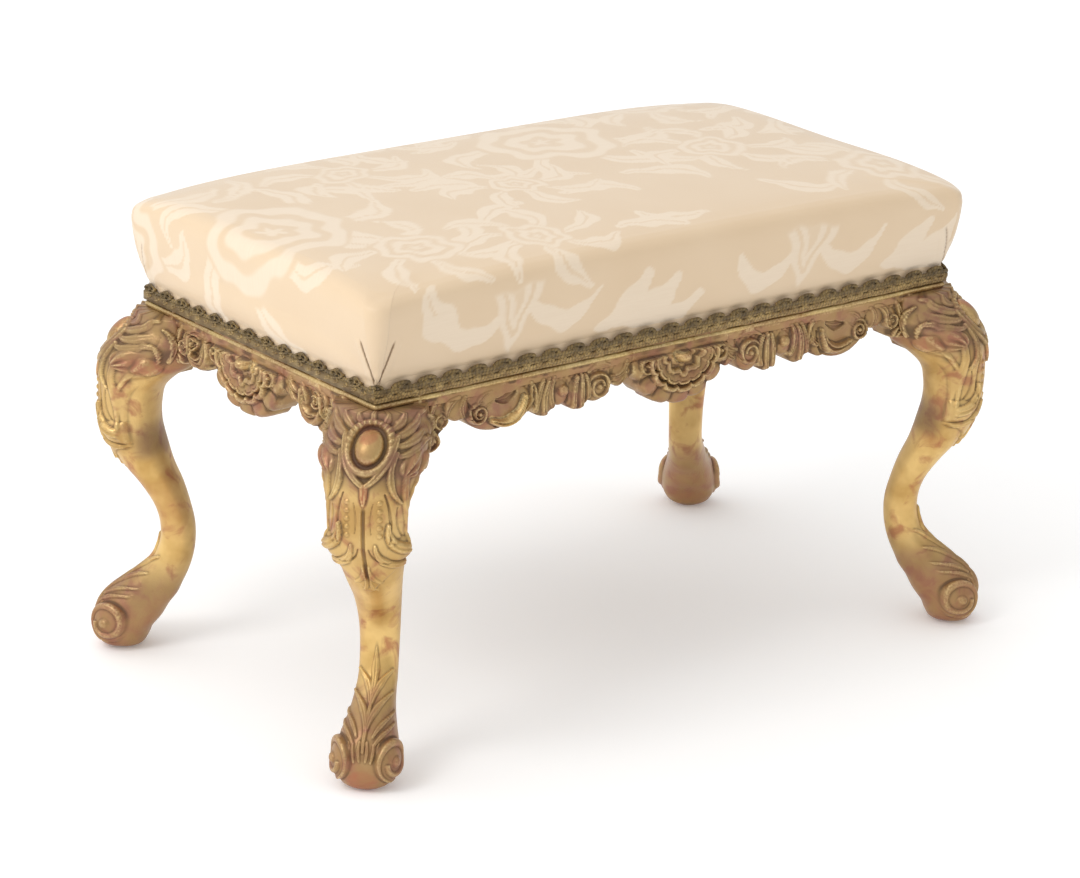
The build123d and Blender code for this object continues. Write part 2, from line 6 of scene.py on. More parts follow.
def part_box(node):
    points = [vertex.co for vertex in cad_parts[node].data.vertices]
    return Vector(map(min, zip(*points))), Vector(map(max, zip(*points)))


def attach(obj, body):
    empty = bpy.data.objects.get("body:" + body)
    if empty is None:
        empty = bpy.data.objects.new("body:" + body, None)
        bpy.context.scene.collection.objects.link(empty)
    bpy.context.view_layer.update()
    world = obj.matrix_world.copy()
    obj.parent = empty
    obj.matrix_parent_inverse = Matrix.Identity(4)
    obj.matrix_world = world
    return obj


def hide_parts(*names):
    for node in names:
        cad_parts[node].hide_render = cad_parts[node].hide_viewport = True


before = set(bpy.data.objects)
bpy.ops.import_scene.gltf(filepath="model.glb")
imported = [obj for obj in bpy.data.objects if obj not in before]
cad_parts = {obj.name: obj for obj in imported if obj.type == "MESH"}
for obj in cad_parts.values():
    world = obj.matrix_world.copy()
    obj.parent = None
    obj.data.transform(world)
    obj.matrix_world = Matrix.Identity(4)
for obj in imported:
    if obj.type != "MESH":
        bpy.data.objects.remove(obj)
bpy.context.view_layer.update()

# The work hidden inside the frame: beech corner blocks and split oak pegs in bare wood, steel
# screws, and the jute webbing, its blued tacks and the hessian over it. Each keeps its solid
# and gets the finish of the raw stuff, dull and thready, as an upholsterer leaves it.


def linear(code):
    """An sRGB hex colour as linear red, green, blue and alpha, through the sRGB curve."""
    channels = [int(code[place:place + 2], 16) / 255 for place in (1, 3, 5)]
    return [c / 12.92 if c <= 0.04045 else ((c + 0.055) / 1.055) ** 2.4 for c in channels] + [1.0]


def add(tree, kind, settings, inputs, output=0):
    """One output of a new node with its settings. An input takes a value or a hex colour, or is
    linked where it gets another node's output."""
    node = tree.nodes.new("ShaderNode" + kind)
    for name, value in settings.items():
        setattr(node, name, value)
    for key, value in inputs.items():
        if isinstance(value, bpy.types.NodeSocket):
            tree.links.new(value, node.inputs[key])
        else:
            node.inputs[key].default_value = linear(value) if isinstance(value, str) else value
    return node.outputs[output]


def new_finish(name, fixed):
    """A material whose shader has these fixed values, with its node tree and its shader."""
    material = bpy.data.materials.new(name)
    material.use_nodes = True
    shader = material.node_tree.nodes["Principled BSDF"]
    for key, value in fixed.items():
        shader.inputs[key].default_value = value
    return material, material.node_tree, shader


def wire(tree, shader, outputs):
    """Link each output to the shader's input of its name."""
    for key, output in outputs.items():
        tree.links.new(output, shader.inputs[key])


# Settings of the nodes that mix two colours and multiply two values
in_colour = {"data_type": "RGBA"}
times = {"operation": "MULTIPLY"}


def streaked(name, light, dark, stretch, fine, depth, fixed):
    """A finish in two colours along a stretched noise, and a bump of the same lines."""
    material, tree, shader = new_finish(name, fixed)
    place = add(tree, "TexCoord", {}, {}, "Object")
    drawn = add(tree, "Mapping", {}, {"Vector": place, "Scale": stretch})
    lines = add(tree, "TexNoise", {}, {"Vector": drawn, "Scale": fine, "Detail": 5.0})
    share = add(tree, "MapRange", {}, {0: lines, 1: 0.35, 2: 0.65})
    wire(tree, shader, {
        "Base Color": add(tree, "Mix", in_colour, {0: share, 6: light, 7: dark}, 2),
        "Normal": add(tree, "Bump", {}, {"Height": lines, "Distance": depth, "Strength": 0.6}),
    })
    return material


# How many bands a wave texture has to the metre at scale 1
bands_to_metre = 3.2


def crossed_threads(name, light, dark, pitch, fixed):
    """A plain weave: two sets of bands at the thread pitch, one along X and one along Y."""
    material, tree, shader = new_finish(name, fixed)
    place = add(tree, "TexCoord", {}, {}, "Object")
    threads = {"Vector": place, "Scale": 1 / pitch / bands_to_metre, "Distortion": 0.8}
    warp, weft = (
        add(tree, "TexWave", {"wave_type": "BANDS", "bands_direction": way}, threads, 1)
        for way in ("X", "Y")
    )
    weave = add(tree, "Math", times, {0: warp, 1: weft})
    slubs = add(tree, "TexNoise", {}, {"Vector": place, "Scale": 90.0, "Detail": 4.0})
    uneven = add(tree, "Math", times, {0: weave, 1: slubs})
    share = add(tree, "MapRange", {}, {0: uneven, 1: 0.05, 2: 0.4})
    wire(tree, shader, {
        "Base Color": add(tree, "Mix", in_colour, {0: share, 6: dark, 7: light}, 2),
        "Normal": add(tree, "Bump", {}, {"Height": weave, "Distance": pitch / 3, "Strength": 0.8}),
    })
    return material


# Sawn beech is pale pink-brown with short flecks; old split oak is darker and long-grained.
beech = streaked("sawn_beech", "#C9A57C", "#A87F55", (1, 1, 6), 60.0, 0.0004, {"Roughness": 0.7})
oak = streaked("split_oak", "#9A7446", "#6B4B2A", (6, 6, 1), 70.0, 0.0004, {"Roughness": 0.65})
# Drawn steel with a grey skin, and tacks blued in the fire.
steel = streaked(
    "drawn_steel", "#9C9A96", "#6F6D6A", (1, 1, 1), 400.0, 0.0001, {"Metallic": 1.0, "Roughness": 0.42}
)
blued = streaked(
    "blued_steel", "#3A4250", "#23262C", (1, 1, 1), 500.0, 0.0001, {"Metallic": 1.0, "Roughness": 0.45}
)
# Jute webbing has threads 2.5 mm apart; hessian is coarser than it looks, 1.8 mm.
jute = crossed_threads("woven_jute", "#B9965F", "#7E5F38", 0.0025, {"Roughness": 0.9})
hessian = crossed_threads("woven_hessian", "#C4A878", "#8A6E45", 0.0018, {"Roughness": 0.95})

corner_names = ("front_left", "front_right", "back_left", "back_right")
raw_finishes = {f"corner_block_{corner}": beech for corner in corner_names}
raw_finishes |= {"tenon_pegs": oak, "corner_block_screws": steel, "webbing_tacks": blued}
raw_finishes |= {"webbing_long": jute, "webbing_cross": jute, "hessian": hessian}
for name, finish in raw_finishes.items():
    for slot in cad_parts[name].material_slots:
        slot.material = finish

# Four cabriole legs, each carved from one beech blank set on the diagonal, gessoed, and water
# gilded over red bole. The knee has a cabochon in a beaded rim over an acanthus leaf, the
# ankle is plain, and the foot is a pair of volutes under a sprig.
bead_low, bead_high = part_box("bead_front")
bead_stand = 0.005
half_length = bead_high.x - bead_stand
half_depth = -bead_low.y - bead_stand
bead_base = bead_low.z
bead_top = bead_high.z
rail_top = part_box("rail_front")[1].z
head_side = 0.052
mm = 0.001

# Height, front edge, back edge, widest line and half width of the leg in millimetres, measured
# from the frame's corner out along the diagonal
leg_rows = np.array([
    (0, 44, 16, 31, 12), (4, 51, 9, 31, 21), (11, 56, 4, 30, 27), (22, 58.5, -1, 28, 30),
    (35, 58, -11, 26, 30), (49, 53, -19, 20, 27), (60, 44, -27, 12, 23.6), (71, 30, -32, 1, 21),
    (82, 15.5, -37, -9, 19.6), (95, 1, -41.5, -20, 18.8), (113, -8, -45, -26, 18.8),
    (135, -10, -45, -28, 19.4), (157, -4, -40, -23, 20.8), (179, 10, -33, -12, 23),
    (201, 27.5, -23.5, 1, 26.8), (223, 40, -17, 10, 31), (245, 47, -12, 15, 34),
    (266, 49.5, -12, 16, 35), (287, 49.5, -18, 11, 37), (303, 48, -34, -5, 43), (316, 44, -53, -21, 47),
    (330, 35.5, -54, -33, 49), (343, 24.5, -53, -37, 47), (354, 13, -51, -38, 44),
    (366, 8, -48, -37, 42),
])
# The power that rounds the leg's section, 1 for an ellipse and less for a fuller one
leg_corner_power = 0.88
# Heights of the cabochon's and the volutes' middles, and the volutes' radius
cabochon_level, volute_level, volute_radius = 338, 31, 22
# How far the leg leans aside at a height, as hand work does
leg_lean = ((0, 0), (50, 0), (90, 2.2), (180, 2.0), (215, 0), (245, -2.8), (320, -2.8), (350, 0))


def through(table, at):
    """Smooth curves through a table's rows: cubic pieces whose slopes are the rows' differences."""
    knots, values = table[:, 0], table[:, 1:]
    slopes = np.gradient(values, knots, axis=0)
    first = np.clip(np.searchsorted(knots, at, side="right") - 1, 0, len(knots) - 2)
    gap = (knots[first + 1] - knots[first])[:, None]
    s = (at - knots[first])[:, None] / gap
    start = values[first] * (2 * s**3 - 3 * s**2 + 1) + slopes[first] * gap * (s**3 - 2 * s**2 + s)
    return start + values[first + 1] * (3 * s**2 - 2 * s**3) + slopes[first + 1] * gap * (s**3 - s**2)


def ease(low, high, value):
    """A smooth step from 0 at low to 1 at high: 3s² - 2s³."""
    s = np.clip((value - low) / (high - low), 0, 1)
    return s * s * (3 - 2 * s)


def unit(vectors):
    """The vectors at length 1, and nothing where they have none."""
    return vectors / (np.linalg.norm(vectors, axis=-1, keepdims=True) + 1e-9)


def dome(reach):
    """A round hump: the root of 1 - reach² inside one, nothing outside."""
    return np.sqrt(np.clip(1 - reach * reach, 0, None))


def spot(x, z, middle_x, middle_z, half_x, half_z):
    """A round hump over an oval with this middle and these half sizes, 1 at its top."""
    return dome(np.hypot((x - middle_x) / half_x, (z - middle_z) / half_z))


def frond(across, up, start, end, bow, widths, height):
    """A carved leaf or rib: a hump about an arc from start to end that bows aside by a share of
    its length, with a half width at its start, middle and end."""
    start, end = np.array(start, float), np.array(end, float)
    side = np.array([end[1] - start[1], start[0] - end[0]]) * bow
    steps = np.linspace(0, 1, 15)[:, None]
    route = start + (end - start) * steps + side * 4 * steps * (1 - steps)
    sizes = np.interp(steps[:, 0], (0, 0.5, 1), widths)
    low = route.min(0) - max(widths)
    high = route.max(0) + max(widths)
    near = (across > low[0]) & (across < high[0]) & (up > low[1]) & (up < high[1])
    x, z = across[near], up[near]
    best = np.full(x.shape, 9.0)
    for one, two, a, b in zip(route, route[1:], sizes, sizes[1:]):
        way = two - one
        s = np.clip(((x - one[0]) * way[0] + (z - one[1]) * way[1]) / (way @ way), 0, 1)
        reach = np.hypot(x - one[0] - s * way[0], z - one[1] - s * way[1]) / (a + (b - a) * s)
        best = np.minimum(best, reach)
    relief = np.zeros(across.shape)
    relief[near] = height * dome(best) * (1 - 0.28 * dome(best / 0.24))
    return relief


def curl(across, up, centre, radius, turns, hand, turned, height):
    """A spiral rib that winds in to a bead: its radius halves with each turn."""
    x, z = across - centre[0], up - centre[1]
    reach = np.hypot(x, z) / radius
    angle = np.arctan2(z, x) * hand - np.radians(turned)
    coil = -np.log(np.maximum(reach, 1e-3)) / np.log(2) - angle / (2 * np.pi)
    nearest = np.clip(np.round(coil), 0, turns)
    rib = height * dome((coil - nearest) / 0.36) * ease(1.35, 1.0, reach)
    eye = height * 1.15 * dome(reach / 0.3)
    drum = height * 0.4 * dome(reach / 1.15)
    return np.maximum(np.maximum(rib, eye), drum)


# Carved fronds on the knee and foot, in millimetres across and up the front of the leg: start,
# end, bow, half widths and height. The first list is on both halves of the leg, the second on
# its middle line.
leaf_fronds = (
    ((23, 345), (2, 308), -0.12, (2.4, 4, 2.6), 5), ((25, 333), (31, 290), 0.12, (2.2, 3.2, 1.2), 3.8),
    ((8, 355), (13, 367), 0.16, (1.8, 3.6, 1.2), 2.4), ((15, 351), (26, 366), 0.18, (2, 4.6, 1.4), 2.9),
    ((21, 346), (37, 362), 0.2, (2.2, 5.2, 1.6), 3.2), ((26, 339), (45, 353), 0.18, (2.2, 5, 1.6), 3.2),
    ((28, 331), (46, 341), 0.16, (2, 4.4, 1.4), 2.8), ((35, 316), (40, 247), 0.04, (2.6, 2.2, 3), 2.8),
    ((22, 270), (41, 240), 0.2, (1.8, 4.4, 5.2), 4.8), ((11, 250), (32, 227), 0.22, (1.4, 4.2, 3.4), 3.4),
    ((3, 228), (13, 208), 0.2, (1, 2.6, 1.2), 2), ((2, 214), (7, 197), 0.15, (1, 2, 0.8), 1.6),
    ((1, 80), (15, 102), -0.1, (2.2, 3.6, 1.4), 2.8), ((1, 62), (17, 84), -0.12, (2, 3.6, 1.4), 2.6),
    ((8, 56), (21, 68), -0.1, (1.6, 2.6, 1.4), 2.4), ((10, 49), (24, 60), -0.1, (1.6, 2.6, 1.4), 2.2),
    ((3, 35), (3.4, 52), 0.05, (1.4, 2, 1.2), 2.2), ((8, 34), (9.5, 50), 0.05, (1.4, 2, 1.2), 2.2),
    ((13, 40), (14.5, 50), 0.05, (1, 1.6, 1), 1.8),
)
centre_fronds = (
    ((0, 84), (0, 124), 0, (2, 4.2, 0.8), 2.8), ((0, 44), (0, 80), 0, (1.8, 2.6, 1.8), 2.4),
    ((0, 306), (0, 289), 0, (4.2, 3.4, 1), 4), ((0, 357), (0, 368), 0, (2, 3, 2), 3.4),
)
leaf_cuts = (
    ((19, 300), (22, 252), -0.07, (0.8, 1.5, 0.8), 2), ((9, 292), (7.5, 262), 0.05, (0.6, 1.1, 0.6), 1),
    ((5, 246), (22, 232), 0.22, (0.6, 1.2, 0.6), 1.6), ((29, 286), (32, 256), 0.05, (0.6, 1.1, 0.6), 1.4),
)
# Fronds on the flanks of the knee, out along the diagonal and up
flank_fronds = (
    ((24, 330), (4, 343), 0.15, (2, 3.8, 2), 3.4), ((12, 324), (-12, 338), 0.2, (2, 4.6, 2.4), 3.8),
    ((14, 340), (-8, 356), 0.15, (1.8, 3.4, 2), 3.2), ((0, 350), (-20, 364), 0.15, (1.8, 3.2, 2), 3),
    ((-25, 356), (-31, 326), 0.26, (1.8, 4, 2.4), 5), ((-12, 340), (-20, 324), 0.2, (1.8, 3.4, 1.6), 3),
)
flank_cuts = (
    ((-31, 350), (-35, 332), 0.2, (0.8, 2.2, 0.8), 3.2),
    ((-16, 356), (-19, 340), 0.2, (0.8, 1.6, 0.8), 2),
    ((18, 322), (-18, 309), -0.1, (0.6, 1.4, 0.6), 1.4),
)


def leg_relief(across, up, out, ahead):
    """Height of the leg's carving at a place across, up and out along the diagonal; ahead is 1
    on the front line, 0 on the widest line and -1 at the back."""
    side = np.abs(across)
    # The cabochon in its beaded rim, the knee's fronds, its two small shells and the pearls
    oval = np.hypot(across / 12.8, (up - cabochon_level) / 13.4)
    turn = np.arctan2(up - cabochon_level, across)
    beads = 1 - 0.34 * np.sin(13 * turn) ** 2 * ease(334, 342, up)
    ribs = 0.74 + 0.26 * np.cos(11 * np.arctan2(up - 312, side - 32))
    forms = [8.0 * dome(oval), 5.2 * dome((oval - 1.50) / 0.26) * beads]
    forms += [frond(side, up, *spec) for spec in leaf_fronds]
    forms += [frond(across, up, *spec) for spec in centre_fronds]
    forms.append(6.0 * spot(side, up, 42, 321, 13, 11) * ribs)
    forms.append(1.7 * spot(np.mod(up, 8), side, 4, 14.8, 2.6, 2.6) * (up > 256) * (up < 296))
    fade = 0.30 * ease(296, 316, up) + 0.08 * (up > 150)
    forms = [np.maximum.reduce(forms) * ease(0.02 + fade, 0.28 + fade, ahead)]
    # The flanks: fronds, a fan and a border that runs down the leaf's edge
    on_flank = ease(0.62, 0.42, ahead) * ease(-0.9, -0.6, ahead)
    forms += [frond(out, up, *spec) * on_flank for spec in flank_fronds]
    fan_ribs = 0.74 + 0.26 * np.cos(13 * np.arctan2(up - 302, out - 18))
    forms.append(4.4 * spot(out, up, -6, 318, 19, 9.5) * fan_ribs * ease(0.56, 0.36, ahead))
    border = dome((ahead - 0.36 + 0.1 * ease(290, 250, up)) / 0.07)
    forms.append(2.2 * border * ease(312, 304, up) * ease(232, 242, up))
    height = np.maximum.reduce(forms)
    height = height - ease(0.36, 0.16, ahead) * sum(frond(out, up, *spec) for spec in flank_cuts)
    # The leaf's body, its rolled tips, its vein and its cuts
    tip = np.hypot((side - 35) / 15, (up - 239) / np.where(up < 239, 8, 16))
    height = height + 4.6 * dome(tip) * ease(0, 10, side - 18) * ease(-0.25, 0.15, ahead)
    leaf_half = np.interp(up, (193, 204, 215, 228, 240, 262, 300, 312), (0, 8, 18, 33, 42, 37, 40, 48))
    height = height + 2.2 * ease(-1.2, 1.2, leaf_half - side) * ease(193, 199, up) * ease(-0.1, 0.1, ahead)
    vein = dome(across / 2.0) * ease(196, 214, up) * ease(290, 282, up)
    height = height - 2.6 * vein - 1.6 * dome((oval - 1.12) / 0.13)
    height = height - sum(frond(side, up, *spec) for spec in leaf_cuts)
    # The volutes of the foot, each on a face turned away from the diagonal
    along = ((side - 25.2) - (out - 40.3)) / np.sqrt(2)
    facing = ((side - 25.2) + (out - 40.3)) / np.sqrt(2)
    reach = np.hypot(along, up - volute_level)
    volute = curl(along, up, (0, volute_level), 17.5, 1, -1, 250, 4.2) + 2.2 * dome(reach / volute_radius)
    volute = np.maximum(volute, 5.2 * spot(along, up, 1, 30, 7.6, 7.6))
    volute = volute - 1.8 * dome((reach - volute_radius) / 2.4)
    inside = ease(24, 20, reach) * ease(-16, -6, facing) * ease(66, 54, up)
    return height * (1 - inside) + volute * inside


def smoothed(values, weight):
    """Values averaged with their neighbours round each ring and from ring to ring."""
    values = (np.roll(values, 1, 1) + weight * values + np.roll(values, -1, 1)) / (weight + 2)
    before, after = np.vstack([values[:1], values[:-1]]), np.vstack([values[1:], values[-1:]])
    return (before + weight * values + after) / (weight + 2)


def wear(relief):
    """How far each point lies below and above the smoothed carving round it, from 0 to 1."""
    level = relief
    for _ in range(7):
        level = smoothed(level, 1)
    return np.clip((level - relief) / 1.5, 0, 1), np.clip((relief - level) / 1.5, 0, 1)


def placed(name, data):
    """A new object of this mesh, lamp or camera, in the scene."""
    thing = bpy.data.objects.new(name, data)
    bpy.context.scene.collection.objects.link(thing)
    return thing


def skin(name, points, faces, marks):
    """A smooth mesh piece; if its volume comes out negative its faces are turned outwards."""
    quads = np.array([face for face in faces if len(face) == 4])
    a, b, c, d = (points[quads[:, k]] for k in range(4))
    volume = (a * (np.cross(b, c) + np.cross(c, d))).sum()
    mesh = bpy.data.meshes.new(name)
    mesh.from_pydata(points.tolist(), [], [face if volume > 0 else face[::-1] for face in faces])
    for mark, values in marks.items():
        attribute = mesh.attributes.new(mark, "FLOAT", "POINT")
        attribute.data.foreach_set("value", values.astype(np.float32).ravel())
    mesh.shade_smooth()
    mesh.update()
    return placed(name, mesh)


def ring_faces(rows, around, offset=0):
    """Quads that join each ring of points to the next, and a fan to a middle point at each end."""
    index = np.arange(rows * around).reshape(rows, around) + offset
    after = np.roll(index, -1, axis=1)
    quads = np.stack([index[:-1], after[:-1], after[1:], index[1:]], axis=-1).reshape(-1, 4)
    foot = np.full(around, rows * around + offset)
    low = np.stack([after[0], index[0], foot], axis=-1)
    high = np.stack([index[-1], after[-1], foot + 1], axis=-1)
    return quads.tolist() + low.tolist() + high.tolist()


def ring_points(rings):
    """The rings' points in one list, then the middle of the first ring and of the last."""
    return np.vstack([rings.reshape(-1, 3), rings[0].mean(0), rings[-1].mean(0)])


def padded_marks(marks):
    """Marks of the rings with the two middle points' values added."""
    return {
        name: np.append(values.ravel(), [values[0].mean(), values[-1].mean()])
        for name, values in marks.items()
    }


# Sections and the points round them lie closest where the leg is carved
levels = np.concatenate([np.arange(0, 112, 0.85), np.arange(112, 194, 2.4), np.arange(194, 366.1, 0.85)])
turns = np.linspace(-np.pi, np.pi, 232, endpoint=False)
turns = turns - 0.38 * np.sin(turns)
outer, inner, widest, half_width = through(leg_rows, levels).T[:, :, None]
forward = np.sign(np.cos(turns)) * np.abs(np.cos(turns)) ** leg_corner_power
sideways = np.sign(np.sin(turns)) * np.abs(np.sin(turns)) ** leg_corner_power
out = widest + np.where(forward > 0, outer - widest, widest - inner) * forward
across = half_width * sideways
lean = np.interp(levels, *np.array(leg_lean).T)[:, None]
up = np.broadcast_to(levels[:, None], out.shape)
stem = np.stack([out, across, up], axis=-1)
normal = unit(np.cross(np.roll(stem, -1, 1) - np.roll(stem, 1, 1), np.gradient(stem, axis=0)))
carved_side = ease(-0.35, 0.1, np.cos(turns))[None, :]
ahead = np.broadcast_to(forward, out.shape)
leg_carving = leg_relief(across, up, out, ahead) * carved_side * ease(0, 9, up)
stem = stem + normal * leg_carving[..., None]
stem[..., 1] += lean
stem[..., 2] = np.clip(stem[..., 2], 0, None)
hollow, proud = wear(leg_carving)
# Where the leaf is rubbed to the bole: the cabochon's crown, the shoulders, the pendant, the
# ankle's edge, the fan and the toe
rub = 0.9 * spot(across, up, 0, 10, 16, 16) * (ahead > 0) + 0.35 * ease(90, 40, up)
for place, middle, level, half_wide, half_tall, amount in (
    (across, -2, 346, 10, 8.5, 1.3), (np.abs(across), 42, 320, 12, 12, 0.5), (across, 0, 298, 5, 12, 1.0),
    (across, -17, 168, 8, 46, 0.35), (out, -8, 318, 20, 9, 0.25),
):
    rub = rub + amount * spot(place, up, middle, level, half_wide, half_tall)
rub = np.clip(rub, 0, 1)
# Painted shade: a dark band low on each flank and down the leg's back, laid into the hollow mark
flank_painted_shade = ease(20, 4, out) * ease(200, 222, up) * ease(256, 236, up) * ease(0.5, 0.2, ahead)
back_painted_shade = ease(-0.2, -0.8, ahead) * ease(60, 110, up)
hollow = np.maximum.reduce([hollow, 0.32 * flank_painted_shade, 0.26 * back_painted_shade])
# The dull mixture covers the foot and the knee, but not the cabochon; on the leg's inner side it is painted
# shade
tone = 0.95 * ease(112, 62, up) + 0.9 * ease(296, 322, up) + 0.3 * ease(-20, 25, out) * ease(190, 240, up)
# Painted shade under the leaf tips, on the inner flank
tone = tone + 0.8 * ease(14, -4, out) * ease(206, 226, up) * ease(262, 240, up)
tone = np.clip(tone - 0.5 * (spot(across, up, 0, cabochon_level, 13, 14) > 0), 0, 1)

diagonal = np.sqrt(0.5)
leg_points = np.stack([
    -half_length + (-stem[..., 0] + stem[..., 1]) * diagonal * mm,
    -half_depth + (-stem[..., 0] - stem[..., 1]) * diagonal * mm,
    stem[..., 2] * mm,
], axis=-1)

# The square head over each leg, seen from above: its inner corner is cut off
near_x, near_y = -half_length, -half_depth
far_x, far_y, cut = near_x + head_side, near_y + head_side, head_side / 2
head_plan = ((near_x, near_y), (far_x, near_y), (far_x, far_y - cut), (far_x - cut, far_y), (near_x, far_y))
head_rings = np.array([[(x, y, height) for x, y in head_plan] for height in np.linspace(0.322, rail_top, 3)])


def gilding(name, colours, roughness, shine):
    """Leaf over bole: gold in two tones, worn red in patches and where rub is high, toned brown in the
    hollows, bright on the proud edges, and under a dull mixture where tone is high. On the legs the hollow
    and tone marks also carry painted shade, and on the aprons the proud mark carries a painted highlight."""
    material, tree, shader = new_finish(name, {"Specular IOR Level": 0.5})
    gold, deep, bole, dull, dusty, toning_and_painted_shade, bright = colours
    place = add(tree, "TexCoord", {}, {}, "Object")
    hollow, proud, tone, rub = (
        add(tree, "Attribute", {"attribute_name": key}, {}, "Fac")
        for key in ("hollow", "proud", "tone", "rub")
    )
    broad = add(tree, "TexNoise", {}, {"Vector": place, "Scale": 26.0, "Detail": 3.0})
    patch = add(tree, "TexNoise", {}, {"Vector": place, "Scale": 48.0, "Detail": 5.0, "Distortion": 0.6})
    grain = add(tree, "TexNoise", {}, {"Vector": place, "Scale": 420.0, "Detail": 4.0})
    clouds = add(tree, "MapRange", {}, {0: broad, 1: 0.38, 2: 0.64})
    colour = add(tree, "Mix", in_colour, {0: clouds, 6: gold, 7: deep}, 2)
    dusted = add(tree, "MapRange", {}, {0: patch, 1: 0.4, 2: 0.62})
    dirt_and_painted_shade = add(tree, "Mix", in_colour, {0: dusted, 6: dull, 7: dusty}, 2)
    worn = add(tree, "MapRange", {}, {0: patch, 1: 0.54, 2: 0.68, 4: 0.72})
    toned = add(tree, "Math", times, {0: tone, 1: 0.85})
    ragged = add(tree, "MapRange", {}, {0: patch, 1: 0.3, 2: 0.55, 3: 0.3, 4: 0.85})
    rubbed = add(tree, "Math", times, {0: rub, 1: ragged})
    sunk = add(tree, "MapRange", {}, {0: hollow, 1: 0.08, 2: 0.75})
    stained_and_painted_shade = add(tree, "Math", times, {0: sunk, 1: 0.66})
    edge = add(tree, "MapRange", {}, {0: proud, 1: 0.2, 2: 0.9})
    specks = add(tree, "MapRange", {}, {0: grain, 1: 0.35, 2: 0.6})
    burnished_and_painted_highlight = add(tree, "Math", times, {0: add(tree, "Math", times, {0: edge, 1: specks}), 1: shine})
    # Each coat lies over the ones before it
    for share, coat in (
        (worn, bole), (toned, dirt_and_painted_shade), (rubbed, bole), (stained_and_painted_shade, toning_and_painted_shade), (burnished_and_painted_highlight, bright),
    ):
        colour = add(tree, "Mix", in_colour, {0: share, 6: colour, 7: coat}, 2)
    rough = add(tree, "Math", {"operation": "MULTIPLY_ADD"}, {0: sunk, 1: 0.35, 2: roughness})
    gritty = add(tree, "Math", times, {0: grain, 1: 0.12})
    muted = add(tree, "Math", times, {0: tone, 1: 0.45})
    matt = add(tree, "Math", {"operation": "MAXIMUM"}, {0: sunk, 1: muted})
    fine = add(tree, "Bump", {}, {"Height": grain, "Distance": 0.0005, "Strength": 0.55})
    wire(tree, shader, {
        "Base Color": colour,
        "Roughness": add(tree, "Math", {"operation": "ADD"}, {0: rough, 1: gritty}),
        "Metallic": add(tree, "Math", {"operation": "MULTIPLY_ADD"}, {0: matt, 1: -0.62, 2: 0.72}),
        "Normal": add(
            tree, "Bump", {}, {"Height": patch, "Distance": 0.0012, "Strength": 0.3, "Normal": fine}
        ),
    })
    return material


# Old water gilding on red clay: warm burnished gold on the plain legs, orange-red where it is rubbed through,
# brown toning in the cuts and pinkish dust over the carved work. The colours are gold, deep gold, bole, dull
# mixture, dust, toning and bright edge; the dull mixture, dust and toning also serve as painted shade on the
# legs, and the bright edge as a painted highlight on the aprons.
old_gilding = gilding(
    "water_gilding_on_red_bole",
    ("#E4C07C", "#C69E5C", "#AA684A", "#94764F", "#8A6450", "#402C1C", "#EED498"),
    0.30,
    0.55,
)

# One leg with its head, for the front left corner, and mirrored to the others. The head hides
# in the joints and has middling marks.
leg_and_head = np.vstack([ring_points(leg_points), ring_points(head_rings)])
leg_faces = ring_faces(*out.shape) + ring_faces(*head_rings.shape[:2], offset=out.size + 2)
marks = padded_marks({"hollow": hollow, "proud": proud, "tone": tone, "rub": rub})
head_marks = np.full(len(leg_and_head) - out.size - 2, 0.6)
marks = {name: np.append(values, head_marks) for name, values in marks.items()}
for corner in corner_names:
    flip = np.array([1 if corner.endswith("left") else -1, 1 if corner.startswith("front") else -1, 1])
    leg = skin(f"carved_leg_{corner}", leg_and_head * flip, leg_faces, marks)
    leg.data.materials.append(old_gilding)
    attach(leg, "root")
    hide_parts(f"leg_{corner}")

# Four carved aprons, each a beech rail with its shell cartouche and knee ears. A run of scrolls,
# fans and pearls hangs below the bead either side of the shell. They are gilded as the legs are,
# and dirtier, with pink bole showing.
rail_thickness = 26.0
apron_top = bead_base / mm + 1
# Heights of the shells' middles, of the fillet under the bead and of the lower edge between
# the forms, and one above every part, where a form is absent
shell_level, fillet_level, band_edge, above_all = 361, 360.6, 342, 400

# Lobes of the lower edge: middle along the rail, middle height, half width and half height
front_lobes = (
    (70, 350, 9, 13), (98, 341, 15, 14), (122, 339, 13, 16), (143, 343, 9, 12), (163, 340, 14, 16),
    (196, 342, 17, 17), (220, 346, 37, 25), (266, 350, 12, 12), (288, 344, 9, 10),
)
side_lobes = ((68, 350, 8, 12), (93, 342, 13, 16), (108, 344, 12, 20), (124, 344, 8, 9))

# Fronds of the front and the side: start, end, bow, half widths and height; and the cuts
front_fronds = (
    ((62, 363), (80, 350), 0.2, (2, 4, 2), 6), ((64, 352), (76, 341), 0.15, (2, 4, 2.5), 6),
    ((84, 363), (110, 360), -0.12, (1.5, 3.4, 1.5), 5),
    ((114, 358), (112, 327), 0.12, (1.8, 3.4, 3), 6.5),
    ((119, 359), (119, 324), 0.03, (1.8, 3.6, 3.2), 7.5),
    ((124, 358), (127, 325), -0.05, (1.8, 3.4, 3), 7), ((152, 362), (152, 332), -0.16, (2, 4.6, 3.2), 6),
    ((158, 362), (163, 326), -0.1, (2, 4.8, 3.6), 7.5), ((165, 362), (174, 331), -0.04, (2, 4.2, 3.2), 6),
    ((180, 362), (186, 336), 0.24, (2, 4.6, 3), 6.5), ((190, 352), (229, 333), 0.32, (1.6, 7.4, 3), 12),
    ((228, 362), (247, 346), -0.16, (1.6, 3.6, 1.6), 5),
    ((226, 352), (240, 338), -0.12, (1.4, 3.2, 1.4), 5),
    ((259, 362), (261, 342), -0.22, (2, 4.6, 2.8), 6), ((266, 363), (282, 346), -0.2, (2, 4.6, 2.8), 6.5),
)
